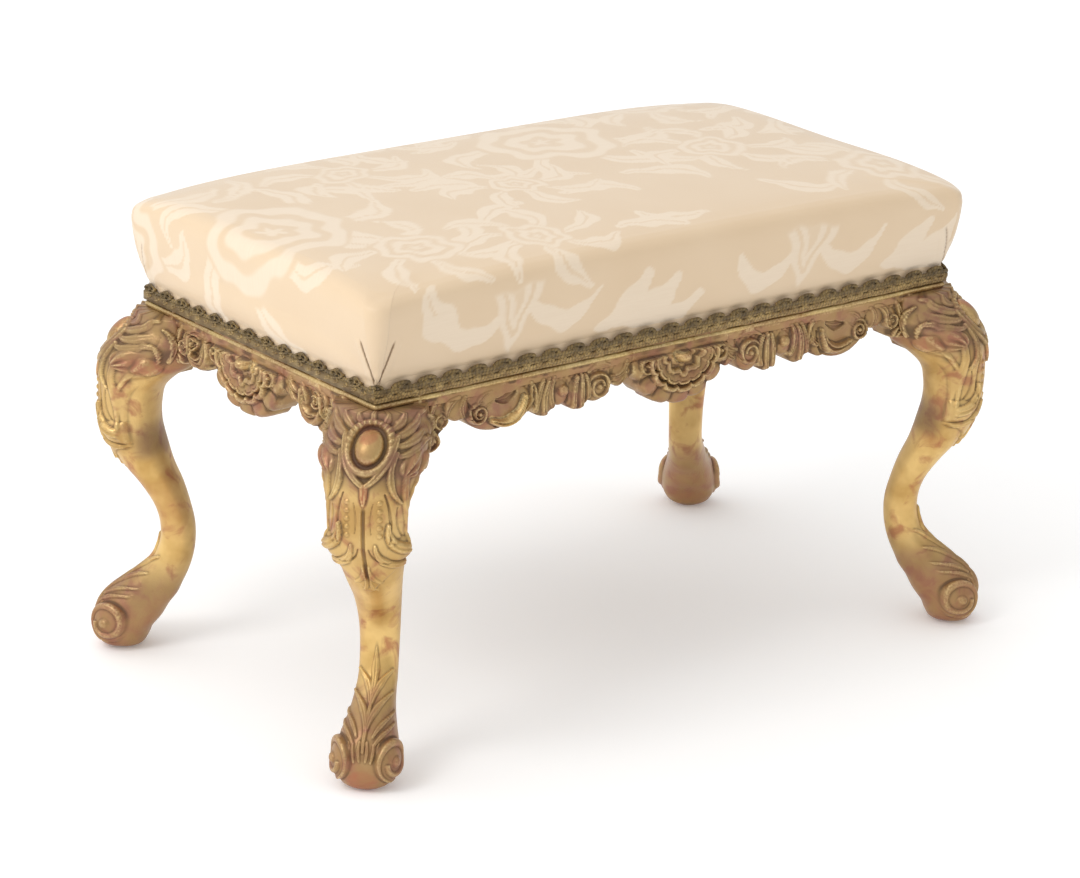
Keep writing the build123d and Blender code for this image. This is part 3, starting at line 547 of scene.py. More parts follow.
side_fronds = (
    ((61, 363), (77, 352), 0.2, (2, 4, 2), 6), ((63, 353), (72, 342), 0.15, (2, 4, 2.5), 6),
    ((81, 362), (84, 331), -0.2, (2, 4.6, 3), 7), ((86, 352), (108, 338), 0.34, (1.6, 6, 2), 10),
    ((90, 364), (112, 362), -0.14, (1.5, 3.2, 1.5), 5), ((114, 361), (122, 347), -0.2, (2, 4, 2.4), 6),
)
front_cuts = (
    ((186, 350), (224, 326), 0.36, (0.8, 1.8, 0.8), 4), ((199, 356), (222, 352), 0.1, (2, 5.5, 2), 4),
    ((81, 356), (86, 338), 0.1, (1, 2.6, 1), 3), ((134, 340), (136, 326), 0, (1, 2, 1), 3),
    ((178, 358), (176, 338), 0, (1, 2, 1), 3), ((254, 354), (252, 338), 0.1, (1, 2.4, 1), 3),
)
side_cuts = (
    ((92, 356), (104, 352), 0.1, (2, 5, 2), 4), ((78, 348), (80, 336), 0, (1, 2.2, 1), 3),
    ((112, 350), (114, 338), 0, (1, 2, 1), 3),
)

# How far the ears hang below the band at each end of a side, left end first
ear_drops = {"front": (15, 6), "left": (6, 15), "back": (9, 9), "right": (9, 9)}
# Each shell's place along its rail, half width and depth
shells = {"front": (6, 62, 55), "left": (-13, 62, 59), "back": (0, 60, 53), "right": (0, 60, 54)}
petal_angle = 25.5


def shell_place(x, z, side):
    """Reach from the shell's middle, 1 at its rim, the angle from straight down in degrees, and
    where that is across its petal, from -1 to 1."""
    middle, broad, depth = shells[side]
    wide, deep = (x - middle) / broad, (shell_level - z) / depth
    turn = np.degrees(np.arctan2(wide, deep))
    petal = 2 * (turn / petal_angle - np.round(turn / petal_angle))
    return np.hypot(wide, deep) / (1 - 0.085 * petal ** 4), turn, petal


def lobed_edge(x, lobes, span, side):
    """The lower edge: the lowest of the band, the shell, the lobes' ellipses and the ears, whose
    drops differ from end to end, as hand work does."""
    along = np.abs(x)
    levels = np.arange(304, 362, 0.4)
    in_shell = shell_place(x[:, None], levels[None, :], side)[0] < 1
    edge = np.where(in_shell.any(axis=1), levels[in_shell.argmax(axis=1)], band_edge)
    for middle, level, wide, tall in lobes:
        tall = tall + 4.5 * (x > 0) * (tall > 12)
        share = (along - middle) / wide
        edge = np.minimum(edge, np.where(np.abs(share) < 1, level - tall * dome(share), above_all))
    drop = np.where(x < 0, *ear_drops[side])
    ear = (along - span + 7) / 13
    edge = np.minimum(edge, np.where(np.abs(ear) < 1, 328 - drop * dome(ear), above_all))
    edge = np.minimum(edge, np.where(along > span - 2, 326 - drop - 1.2 * (along - span), above_all))
    return (np.roll(edge, 1) + 2 * edge + np.roll(edge, -1)) / 4


def shell_relief(x, z, side):
    """The cartouche: petals round the edge, two bands, a sunk bowl with a wavy rim and a pearl."""
    reach, turn, petal = shell_place(x, z, side)
    x = x - shells[side][0]
    wavy = 0.38 + 0.03 * np.cos(np.radians(turn) * 9)
    bowl = (3.0 + 7.5 * (reach / 0.52) ** 2) * (reach < 0.54)
    bowl = bowl + 3.6 * dome((reach - wavy) / 0.055) + 2.0 * dome((reach - wavy * 0.58) / 0.05)
    height = np.maximum.reduce([
        8.0 * dome(petal / 1.12) * dome((reach - 0.80) / 0.27), 13 * dome((reach - 0.70) / 0.07),
        12 * dome((reach - 0.575) / 0.052), bowl * (reach < 0.6),
    ])
    x, pearl = np.abs(x), 17 * spot(x, z, 0, 357, 10, 7.5)
    scrolled = curl(x, z, (47, 355), 9, 1, 1, 200, 12) * (np.hypot(x - 47, z - 355) < 10.5)
    return np.maximum.reduce([np.where(reach < 1.03, height, 0), pearl, scrolled])


def apron_relief(x, z, span, side):
    """Height of all the carving on one apron, nearly the same on both sides of its middle."""
    long_side = side in ("front", "back")
    along = np.abs(x)
    forms = [0.8 + 0.5 * np.sin(x * 0.9) * np.sin(z * 0.8)]
    if long_side:
        forms += [4.2 * spot(along, z, *middle, wide, tall + 3) for *middle, wide, tall in front_lobes]
        forms.append(curl(along, z, (97, 343), 12, 1, 1, 160, 7.0))
        forms.append(curl(along, z, (243, 342), 10, 1, -1, 20, 7.5))
        forms.append(9.5 * spot(along, z, 142, 347, 6.6, 6.6))
    else:
        rim = np.hypot((along - 98) / 20, (z - 350) / 25)
        forms.append(8.0 * dome((rim - 0.84) / 0.18) * (z < 358))
        forms.append(curl(along, z, (107, 352), 8, 1, -1, 20, 8))
    forms += [frond(along, z, *spec) for spec in (front_fronds if long_side else side_fronds)]
    height = np.maximum.reduce(forms)
    height = height - sum(frond(along, z, *spec) for spec in (front_cuts if long_side else side_cuts))
    height = np.where(np.abs(x - shells[side][0]) < 61, shell_relief(x, z, side), height)
    # The fillet under the bead, and at the rail's ends the ears' scrolls and fronds
    forms = [height, 2.6 * ease(fillet_level - 1, fillet_level, z)]
    forms.append(curl(along, z, (span - 19, 344), 8, 1, 1, 250, 7))
    forms.append(curl(along, z, (span - 6, 324), 10.5, 1, 1, 200, 8))
    for start, end in (((-14, 363), (-6, 338)), ((-4, 364), (5, 336)), ((4, 365), (12, 344))):
        spec = ((span + start[0], start[1]), (span + end[0], end[1]), -0.08, (2, 4.2, 3), 6)
        forms.append(frond(along, z, *spec))
    height = np.maximum.reduce(forms)
    return height * np.where(z > fillet_level, np.minimum(1, 4 / (height + 0.1)), 1)


def apron(side, span, turned):
    """Sections across the rail: the carved face from the bead to the lobed edge, then the plain
    underside, back and top. They stand along X and are turned to their side by an angle."""
    long_side = side in ("front", "back")
    x = np.linspace(-span - 10, span + 10, int(2 * (span + 10)))
    edge = lobed_edge(x, front_lobes if long_side else side_lobes, span, side)
    z = apron_top + (edge[:, None] - apron_top) * np.linspace(0, 1, 92)[None, :]
    spread = np.broadcast_to(x[:, None], z.shape)
    carving = apron_relief(spread, z, span, side)
    round_off = dome(1 - np.clip((z - edge[:, None]) / 5.5, 0, 1))
    # The back's places and rises from the edge, then the top's places and heights
    back = ((-8, 0), (-rail_thickness + 3, 0.5), (-rail_thickness, 4))
    shelf = ((-rail_thickness, 380), (-rail_thickness, 391.6), (-12, 391.6), (0, 391.6), (0, 380))
    plain = np.ones((len(x), 1))
    outs = [(1.2 + carving) * round_off - 1.5 * (1 - round_off)]
    outs = np.hstack(outs + [plain * deep for deep, _ in back + shelf])
    heights = [z] + [edge[:, None] + rise for _, rise in back] + [plain * level for _, level in shelf]
    rings = np.stack([np.broadcast_to(x[:, None], outs.shape), -outs, np.hstack(heights)], axis=-1) * mm
    rings[..., 1] -= half_depth if long_side else half_length
    # Marks: a painted highlight, a crescent on the left half and a spot at the shell's pearl, and pink bole
    # where hands and cloths rub
    hollow, proud = wear(carving)
    bright = frond(np.abs(spread), z, (190, 350), (228, 334), 0.32, (3, 8, 4), 1.0) * (spread < 0) * long_side
    bright = np.maximum(bright, 0.5 * spot(spread, z, 0, 357, 9, 7))
    streaks = 0.5 + 0.5 * np.sin(spread / 11 + 2 * np.sin(spread / 29))
    pink = spot(np.abs(spread), z, 142, 347, 8, 8) + 0.7 * ease(354, 360, z)
    pink = np.maximum(pink, 0.8 * streaks * ease(345, 335, z))
    rest = np.zeros((len(x), len(back) + len(shelf)))
    marks = {
        # The painted highlight raises the proud mark and lowers the tone
        "hollow": np.hstack([hollow, rest]), "proud": np.hstack([np.maximum(proud, 1.8 * bright), rest]),
        "tone": np.hstack([0.88 - 0.85 * bright, rest + 0.88]),
        "rub": np.hstack([0.32 * np.clip(pink, 0, 1), rest]),
    }
    c, s = np.cos(np.radians(turned)), np.sin(np.radians(turned))
    points = ring_points(rings) @ np.array([[c, s, 0], [-s, c, 0], [0, 0, 1]])
    return skin(f"carved_apron_{side}", points, ring_faces(*rings.shape[:2]), padded_marks(marks))


for side, turned in (("front", 0), ("right", 90), ("back", 180), ("left", 270)):
    span = (half_length if side in ("front", "back") else half_depth) / mm - head_side / mm
    piece = apron(side, span, turned)
    piece.data.materials.append(old_gilding)
    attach(piece, "root")
    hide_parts(f"rail_{side}", f"shell_{side}", f"ear_{side}_left", f"ear_{side}_right")

# The gilt bead: a half-round beech moulding pinned round the frame under the covering and
# mitred at the corners. Handling has burnished it brighter than the carving, and the hand
# plane left it slightly uneven.


def round_the_frame(half_x, half_y, radius, side_steps, corner_steps):
    """Points round a rectangle with rounded corners, rows of sizes giving rows of points, and
    the way out at each. It starts on the front left and goes round by the right."""
    half_x, half_y, radius = (np.atleast_1d(value)[:, None, None] for value in (half_x, half_y, radius))
    half = np.concatenate([half_x, half_y], axis=-1)
    flat = half - radius
    plans, ways = [], []
    for way, steps in zip(((0, -1), (1, 0), (0, 1), (-1, 0)), side_steps * 2):
        way, onward = np.array(way), np.array((-way[1], way[0]))
        angle = np.arctan2(way[1], way[0]) + np.linspace(0, np.pi / 2, corner_steps + 2)[1:-1]
        bend = np.stack([np.cos(angle), np.sin(angle)], axis=-1)
        plans += [way * half + onward * flat * steps[:, None], (way + onward) * flat + radius * bend]
        ways += [np.broadcast_to(way, plans[-2].shape), np.broadcast_to(bend, plans[-1].shape)]
    return np.concatenate(plans, axis=1), np.concatenate(ways, axis=1).astype(float)


def tube_faces(count, around):
    """Quads along a tube that closes to a ring, from a count of sections with points around."""
    index = np.arange(count * around).reshape(count, around)
    onward = np.roll(index, -1, axis=0)
    return np.stack([index, np.roll(index, -1, 1), np.roll(onward, -1, 1), onward], axis=-1).reshape(-1, 4)


bead_steps = (np.linspace(-1, 1, 361), np.linspace(-1, 1, 201))
(plan,), (way,) = round_the_frame(half_length, half_depth, 0.0006, bead_steps, 5)
place = np.arange(len(plan))
waver = 0.6 * np.sin(place * 0.21) + 0.5 * np.sin(place * 0.083 + 1) + 0.4 * np.sin(place * 0.47)
# The moulding's section: how far out, as a share of its swell, and the rise from its middle
half_round = [(np.cos(turn), 0.2 + 3.3 * np.sin(turn)) for turn in np.linspace(-np.pi / 2, np.pi / 2, 11)]
profile = [(-2.0, -4.5), (0.0, -4.5), (0.0, -3.6)] + half_round + [(0.0, 4.0), (-2.0, 4.0)]
rings = []
for out_share, rise in profile:
    stand = np.where(out_share < 0, out_share, 0.6 + (3.9 + 0.4 * waver) * max(out_share, 0))
    level = (bead_base + bead_top) / 2 / mm + rise + 0.25 * waver * (out_share > 0.1)
    rings.append(np.column_stack([plan + way * stand[:, None] * mm, level * mm]))
rings = np.array(rings).transpose(1, 0, 2)
bead_proud = np.tile([0.9 * max(0, share) for share, _ in profile], (len(plan), 1))
patches = 0.3 + 0.3 * np.sin(place * 0.13 + 2 * np.sin(place * 0.031))
rubs = 0.35 + 0.35 * np.sin(place * 0.071 + 3 * np.sin(place * 0.02))
bead = skin("gilt_bead", rings.reshape(-1, 3), tube_faces(*rings.shape[:2]).tolist(), {
    "hollow": 0.8 * (bead_proud < 0.25), "proud": bead_proud,
    "tone": patches.repeat(len(profile)), "rub": rubs.repeat(len(profile)),
})
bead.data.materials.append(gilding(
    "burnished_water_gilding",
    ("#D4B878", "#A98A50", "#96683E", "#9A8150", "#7E6344", "#402C1C", "#ECD6A0"),
    0.27,
    0.4,
))
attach(bead, "root")
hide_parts("bead_front", "bead_back", "bead_left", "bead_right")

# The stuffed-over seat: curled hair in a calico undercover, then the cream silk damask drawn
# down over the edge and tacked to the rail, with two pleats at each corner. The stuffing is
# pressed out under the cloth by a short cloth simulation.
# Rows up the side: length along the cloth from its tacked edge, stand from the frame, height
seat_profile = np.array([
    (0, 1.2, 374.8), (9, 1.3, 383), (18, 1.6, 392), (24, 4.8, 397.5), (36, 9.6, 408), (50, 13.8, 421),
    (66, 17.4, 437), (80, 19.2, 450.5), (91, 19.8, 461.5), (99, 18.2, 469.3), (107, 12.6, 474),
    (116, 4.2, 476.2),
])
seat_fall = 116
# Length along the cloth and the corner's radius there
corner_radii = ((0, 3), (18, 4), (36, 10), (66, 17), (100, 20), (116, 20))
top_radius, seat_crown, edge_lift = 20, 5.0, 8.5
# Height of the covering's flat bottom, and how far its hem turns up behind the rail's face
seat_bottom, hem_rise = 397.5, 17.5


def crowded(count, length, reach, fine):
    """Places from -1 to 1 along a side, a fine step apart near its ends and coarser between."""
    ends = np.arange(0, reach, fine)
    middle = np.linspace(reach, 2 * length - reach, count)
    return np.concatenate([ends, middle, 2 * length - ends[::-1]]) / length - 1


def seat_skin(side_steps, corner_steps, side_rows, top_rows):
    """Rings of the covering from its tacked edge up the side, over the edge and in to the middle
    line of the top, with the place of each point in the flat cloth."""
    lengths = np.linspace(0, seat_fall, side_rows)
    offset, level = through(seat_profile, lengths).T
    half_x = half_length / mm + offset
    half_y = half_depth / mm + offset
    inward = np.linspace(0, 1, top_rows + 1)[1:] ** 0.97
    edge_x, edge_y = half_x[-1], half_y[-1]
    shrink = inward * (edge_y - 1.0)
    top_radii = np.minimum(top_radius + shrink * 0.5, edge_y - shrink - 0.2)
    radius = np.append(np.interp(lengths, *np.array(corner_radii).T), top_radii)
    half_x, half_y = np.append(half_x, edge_x - shrink), np.append(half_y, edge_y - shrink)
    plan, way = round_the_frame(half_x, half_y, radius, side_steps, corner_steps)
    over_x = np.clip(np.abs(plan[..., 0]) / edge_x, 0, 1)
    over_y = np.clip(np.abs(plan[..., 1]) / edge_y, 0, 1)
    # The top swells to its middle, and its edges stand higher than its corners, most at the back
    crown = seat_crown * (1 - over_x ** 3) * (1 - over_y ** 2.4)
    lift = edge_lift * (1.15 + 0.15 * plan[..., 1] / edge_y) * (1 - (over_x * over_y) ** 5)
    on_top = np.append(np.zeros(side_rows), np.ones(top_rows))[:, None]
    at_edge = np.append(ease(45, seat_fall, lengths), np.ones(top_rows))[:, None]
    high = np.append(level, np.full(top_rows, level[-1]))[:, None] + crown * on_top + lift * at_edge
    # The sides draw in a little between the corners
    slack = (1 - over_x ** 2) * ease(0.84, 0.99, over_y) + (1 - over_y ** 2) * ease(0.9, 0.995, over_x)
    drawn = 2.5 * slack * np.append(ease(20, 70, lengths), ease(0.16, 0, inward))[:, None]
    plan = plan - way * drawn[..., None]
    fall = np.append(seat_fall - lengths, np.zeros(top_rows))[:, None, None]
    flat = np.where(fall > 0, plan[side_rows - 1], plan) + way * fall
    return np.concatenate([plan, high[..., None]], axis=-1), flat


def swollen(points, steps):
    """The same skin after the stuffing has pushed out a while: a cloth simulation with pressure,
    its tacked rings and its bottom held, applied to the mesh."""
    rows, around = points.shape[:2]
    count = rows * around
    mesh = bpy.data.meshes.new("seat_trial")
    mesh.from_pydata((ring_points(points) * mm).tolist(), [], ring_faces(rows, around))
    trial = placed("seat_trial", mesh)
    held = trial.vertex_groups.new(name="held")
    held.add([int(i) for i in range(count) if i // around < 3] + [count], 1.0, "REPLACE")
    cloth = trial.modifiers.new("cloth", "CLOTH")
    for key, value in {
        "vertex_group_mass": "held", "quality": 6, "mass": 0.3, "tension_stiffness": 60,
        "compression_stiffness": 60, "use_pressure": True, "uniform_pressure_force": 3,
    }.items():
        setattr(cloth.settings, key, value)
    cloth.settings.effector_weights.gravity = 0
    cloth.collision_settings.use_collision = False
    for step in range(1, steps + 1):
        bpy.context.scene.frame_set(step)
    graph = bpy.context.evaluated_depsgraph_get()
    result = trial.evaluated_get(graph).to_mesh()
    moved = np.zeros((count + 2) * 3, np.float32)
    result.vertices.foreach_get("co", moved)
    trial.evaluated_get(graph).to_mesh_clear()
    bpy.data.objects.remove(trial)
    bpy.context.scene.frame_set(1)
    return moved.reshape(-1, 3)[:count].reshape(rows, around, 3) / mm


def ring_steps(long_side, short_side, bend):
    """Where a ring's points lie round it: each side is 2 long and each corner a little less
    than 1, whatever their number, so that two samplings can be compared."""
    corner = np.linspace(1, 1.9, bend + 2)[1:-1]
    starts = ((0, long_side), (3, short_side), (6, long_side), (9, short_side))
    return np.concatenate([part + start for start, side in starts for part in (side, corner)])


# How the skin is sampled: rows up the side and over the top, points on each side and corner
side_rows, top_rows, bend = 74, 84, 30
coarse_side_rows, coarse_top_rows, coarse_bend = 19, 21, 6
crowded_reach = 30
long_steps = crowded(240, half_length / mm, crowded_reach, 1.2)
short_steps = crowded(126, half_depth / mm, crowded_reach, 1.2)
seat, flat_cloth = seat_skin((long_steps, short_steps), bend, side_rows, top_rows)
coarse_long = crowded(40, half_length / mm, crowded_reach, 6)
coarse_short = crowded(22, half_depth / mm, crowded_reach, 6)
coarse, _ = seat_skin((coarse_long, coarse_short), coarse_bend, coarse_side_rows, coarse_top_rows)
pushed = swollen(coarse, 20) - coarse
for _ in range(6):
    pushed = smoothed(pushed, 2)
reach = np.linalg.norm(pushed, axis=-1, keepdims=True)
pushed *= np.minimum(1, 3.0 / np.maximum(reach, 1e-6))
# The push is laid over the fine skin by its rows and by its places round the rings
up_side = np.linspace(0, coarse_side_rows - 1, side_rows)
over_top = np.arange(1, top_rows + 1) * coarse_top_rows / top_rows
rows_at = np.append(up_side, coarse_side_rows - 1 + over_top)
first = np.clip(rows_at.astype(int), 0, len(coarse) - 2)
part = (rows_at - first)[:, None, None]
between = pushed[first] * (1 - part) + pushed[first + 1] * part
coarse_steps = ring_steps(coarse_long, coarse_short, coarse_bend)
fine_steps = ring_steps(long_steps, short_steps, bend)
for row, axis in np.ndindex(len(seat), 3):
    seat[row, :, axis] += np.interp(fine_steps, coarse_steps, between[row, :, axis])

# Two pleats at each corner, sewn shut: narrow creases that run down to the corner's foot. Their
# place is the length along the ring from the corner.
seam_top, seam_foot, seam_spread = 437.0, 391.0, 20.0
steps_along = np.linalg.norm(np.roll(seat, -1, 1) - seat, axis=-1)
ring_length = np.cumsum(steps_along, axis=1) - steps_along
total = steps_along.sum(axis=1, keepdims=True)
long_count, short_count = len(long_steps), len(short_steps)
index = long_count + bend // 2
from_corner = np.full(seat.shape[:2], 1e3)
for onward in (short_count, long_count, short_count, 0):
    gap = np.abs(ring_length - ring_length[:, index:index + 1])
    from_corner = np.minimum(from_corner, np.minimum(gap, total - gap))
    index += bend + onward
share_up = (seat[..., 2] - seam_foot) / (seam_top - seam_foot)
line = 1.2 + seam_spread * np.clip(share_up, 0, 1)
on_side = (np.arange(len(seat)) < side_rows)[:, None]
shown = ease(-0.1, 0.05, share_up) * ease(1.02, 0.85, share_up) * on_side
# The crease both sinks the cloth and marks it for painted shade in the silk
crease_and_painted_shade = dome((from_corner - line) / 1.3) * shown
lip = dome((from_corner - line - 4.5) / 5.5) * shown * (from_corner > line + 1)
outward = unit(seat * (1 / 360, 1 / 195, 0))
seat -= outward * (2.0 * crease_and_painted_shade - 0.9 * lip)[..., None]

# Flowers of the damask: middle in the flat cloth and size; and leaves: start, end and bow
roses = (
    (-344, 4, 84), (74, 111, 80), (-262, -124, 44), (-176, 122, 34), (-52, -6, 30), (214, 6, 40),
    (330, -128, 52), (420, 90, 70), (262, 190, 46), (-420, 200, 60), (-90, 236, 58), (-140, -150, 36),
)
loose_leaves = (
    ((-170, 60), (-96, 92), 0.22), ((-150, 30), (-84, 6), -0.24), ((-206, 40), (-232, 96), 0.2),
    ((-70, 40), (4, 34), 0.24), ((-30, -50), (44, -84), -0.22), ((-90, -60), (-150, -96), 0.24),
    ((130, 30), (180, -30), 0.2), ((70, -30), (140, -86), -0.24), ((250, 60), (318, 92), 0.22),
    ((270, -30), (330, -60), 0.22), ((176, -120), (246, -166), 0.2), ((-10, -140), (60, -176), 0.2),
    ((20, -190), (-50, -170), 0.2), ((-300, -210), (-250, -262), 0.2), ((150, 160), (96, 216), 0.2),
    ((-20, 190), (-70, 150), -0.2), ((-330, 120), (-276, 176), 0.22), ((350, 10), (300, 30), 0.2),
)


def damask(u, v):
    """The figure of the silk, 1 in the cream motifs and 0 in the satin ground: roses of lobed
    rings, 0.5 + 0.5 cos of the reach, leaves about each, and bell flowers on the long sides. The
    cloth's coordinates are first bent by sines, as a drawn pattern's outlines waver."""
    u, v = (
        u + 3.2 * np.sin(v / 15 + 1) + 1.5 * np.sin(v / 5.2) + 2 * np.sin((u + v) / 23),
        v + 3.2 * np.sin(u / 17 + 2) + 1.5 * np.sin(u / 4.7) + 2 * np.sin((u - v) / 19),
    )
    figure = np.zeros(u.shape)
    leaves = [(start, end, bow, (6, 17, 4)) for start, end, bow in loose_leaves]
    for x, y, size in roses:
        for number in range(7):
            angle = number * np.pi / 3.5 + x
            root = (x + size * np.cos(angle), y + size * np.sin(angle))
            tip = (x + (size + 56) * np.cos(angle + 0.45), y + (size + 48) * np.sin(angle + 0.45))
            leaves.append((root, tip, 0.24, (0.08 * size + 3, 15, 3)))
    for start, end, bow, widths in leaves:
        figure = np.maximum(figure, ease(0.22, 0.5, frond(u, v, start, end, bow, widths, 1.0)))
        figure = figure * (1 - 0.85 * ease(0.3, 0.7, frond(u, v, start, end, bow, (1.0, 2.2, 0.6), 1.0)))
    for x, y, size in roses:
        turn = np.arctan2(v - y, u - x)
        reach = np.hypot(u - x, v - y) / size / (1 + 0.07 * np.cos(7 * turn + x))
        rings = 0.5 + 0.5 * np.cos(2 * np.pi * (reach * 2.6 + 0.12 * np.sin(5 * turn + y)))
        inside = ease(1.0, 0.94, reach)
        figure = figure * (1 - inside) + ease(0.1, 0.62, rings) * inside
    for x, y in ((-198, -258), (155, -258), (-198, 258), (155, 258)):
        rise = (v - y) * np.sign(-y)
        off = np.abs(u - x)
        bell = ease(2, -2, off - 0.46 * (rise + 34)) * ease(36, 30, rise)
        figure = np.maximum(figure, bell)
        figure = figure * (1 - 0.9 * bell * ease(3.2, 1.6, np.abs(off - 0.40 * (rise + 14))) * (rise > -14))
        figure = figure * (1 - 0.8 * bell * ease(1, -1, off - 0.30 * (rise - 6)) * (rise > 6))
        for side in (-1, 1):
            horn = frond(u, v, (x + 22 * side, y + 8), (x + 92 * side, y + 20), 0.3 * side, (7, 13, 3), 1.0)
            figure = np.maximum(figure, ease(0.25, 0.5, horn))
        for start, end in (((112, -26), (150, 18)), ((132, -28), (190, 12)), ((150, -30), (222, -10))):
            spray = frond(u, v, (x + start[0], y + start[1]), (x + end[0], y + end[1]), 0.12, (9, 19, 8), 1.0)
            figure = np.maximum(figure, ease(0.25, 0.5, spray))
    return figure


# The covering closes under the tacking margin: in by the cloth and up behind the rail's face,
# then level over the rails to the middle
figure = damask(flat_cloth[..., 0], flat_cloth[..., 1])
seat_around = seat.shape[1]
behind = seat[0] - outward[0] * 0.9
under = [behind, behind + (0, 0, hem_rise)]
side_x, side_y = half_length / mm - 0.2, half_depth / mm - 0.2
for inset in (0.0, 30.0, 90.0, 160.0, side_y - 1.0):
    ring = np.clip(seat[0] / (half_length / mm, half_depth / mm, 1), -1, 1)
    under.append(ring * (side_x - inset, side_y - inset, seat_bottom))
rings = np.vstack([np.array(under)[::-1], seat])
ring_count = len(rings)
top_middle = ring_count * seat_around + 1
cover_faces = [face for face in ring_faces(ring_count, seat_around) if top_middle not in face]
# The last ring is a long slit, closed by quads from its front to its back
opposite = 2 * long_count + 2 * bend + short_count - 1
first_of_last = (ring_count - 1) * seat_around
for place in range(-(bend + short_count // 2), long_count + bend + short_count // 2):
    four = (place, place + 1, opposite - place - 1, opposite - place)
    four = list(dict.fromkeys(number % seat_around for number in four))
    if len(four) > 2:
        cover_faces.append([first_of_last + number for number in four])
plain = np.zeros((len(under), seat_around))
cover_marks = {"figure": np.vstack([plain, figure]), "crease_and_painted_shade": np.vstack([plain, crease_and_painted_shade])}
cover_marks = {name: np.append(values.ravel(), values[0].mean()) for name, values in cover_marks.items()}
cover_points = np.vstack([rings.reshape(-1, 3), rings[0].mean(0)]) * mm
cover = skin("silk_damask_seat", cover_points, cover_faces, cover_marks)
uv = cover.data.uv_layers.new(name="cloth")
corners = np.zeros(len(cover.data.loops), np.int32)
cover.data.loops.foreach_get("vertex_index", corners)
flat = np.vstack([np.zeros((plain.size, 2)), flat_cloth.reshape(-1, 2), np.zeros((1, 2))]) * mm
uv.data.foreach_set("uv", flat[corners].astype(np.float32).ravel())

# Silk damask in one colour: a satin ground of warm beige that takes the light, and figures in duller cream.
# Threads are 0.25 mm apart, drawn 1.2 mm so that they show. The pleats' creases are darkened to brown, a
# painted shade.
silk, tree, shader = new_finish(
    "silk_damask", {"Sheen Weight": 0.45, "Sheen Roughness": 0.35, "Specular IOR Level": 0.45}
)
figured, painted_crease_shade = (
    add(tree, "Attribute", {"attribute_name": key}, {}, "Fac") for key in ("figure", "crease_and_painted_shade")
)
cloth = add(tree, "UVMap", {"uv_map": "cloth"}, {})
threads = {"Vector": cloth, "Scale": 260.0, "Distortion": 0.6}
ribs = add(tree, "TexWave", {"bands_direction": "Y"}, threads, 1)
drawn = add(tree, "Mapping", {}, {"Vector": cloth, "Scale": (30, 420, 1)})
slubs = add(tree, "TexNoise", {}, {"Vector": drawn, "Scale": 1.0, "Detail": 3.0})
clouds = add(tree, "TexNoise", {}, {"Vector": cloth, "Scale": 9.0, "Detail": 2.0})
ground = add(tree, "Mix", in_colour, {0: clouds, 6: "#DCC19E", 7: "#E4CCAC"}, 2)
cream = add(tree, "Mix", in_colour, {0: slubs, 6: "#E6D2B8", 7: "#ECDAC2"}, 2)
colour = add(tree, "Mix", in_colour, {0: figured, 6: ground, 7: cream}, 2)
weave = add(tree, "Bump", {}, {"Height": ribs, "Distance": 0.00015, "Strength": 0.25})
weave = add(tree, "Bump", {}, {"Height": slubs, "Distance": 0.0003, "Strength": 0.25, "Normal": weave})
wire(tree, shader, {
    # Painted shade: the pleats' creases darken to brown
    "Base Color": add(tree, "Mix", in_colour, {0: painted_crease_shade, 6: colour, 7: "#9A7E62"}, 2),
    "Roughness": add(tree, "MapRange", {}, {0: figured, 3: 0.38, 4: 0.58}),
    "Normal": add(
        tree, "Bump", {}, {"Height": figured, "Distance": 0.0003, "Strength": 0.35, "Normal": weave}
    ),
})
cover.data.materials.append(silk)
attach(cover, "root")
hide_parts("silk_cover", "calico_undercover", "stuffing")

# Scroll gimp: a narrow woven heading with cords looped above it in overlapping ovals, glued
# over the tacks. The cords are gilt thread wound on a core, and the loops make the scalloped
# upper edge.
gimp_pitch = 29.6
gimp_low = bead_top / mm + 0.3
gimp_stand = 3.4
cord_sides = 6


def frame_place(length, stand):
    """Where a length round the frame lies, stand away from its faces, and the whole length."""
    size_x, size_y = half_length / mm + stand, half_depth / mm + stand
    sides = np.array([2 * size_x, 2 * size_y, 2 * size_x, 2 * size_y])
    total = sides.sum()
    at = np.mod(length, total)
    edges = np.concatenate([[0], np.cumsum(sides)])
    side = np.clip(np.searchsorted(edges, at, side="right") - 1, 0, 3)
    along = at - edges[side]
    x = np.choose(side, [along - size_x, size_x + 0 * along, size_x - along, -size_x + 0 * along])
    y = np.choose(side, [-size_y + 0 * along, along - size_y, size_y + 0 * along, size_y - along])
    return x, y, total


def cord(along, height, stand, radius):
    """A closed tube round the frame: along and height give its way on the unrolled face, and
    stand how far it lies out. The thread is wound once in 4 mm."""
    x, y, _ = frame_place(along, gimp_stand)
    out_x, out_y, _ = frame_place(along, gimp_stand + 1.0)
    way = unit(np.stack([out_x - x, out_y - y, 0 * x], axis=-1))
    centre = np.stack([x, y, height], axis=-1) + way * stand[:, None]
    across = unit(np.cross(np.roll(centre, -1, 0) - np.roll(centre, 1, 0), way))
    turns = np.linspace(np.pi, 3 * np.pi, cord_sides, endpoint=False)
    turns = turns[:, None]
    ring = way[:, None] * np.cos(turns) * 0.85 + across[:, None] * np.sin(turns)
    steps = np.linalg.norm(np.roll(centre, -1, 0) - centre, axis=-1)
    wound = (np.cumsum(steps) - steps)[:, None] / 4 + turns.T / (2 * np.pi)
    return centre[:, None] + ring * radius, wound


perimeter = frame_place(np.zeros(1), gimp_stand)[2]
repeats = int(round(perimeter / gimp_pitch))
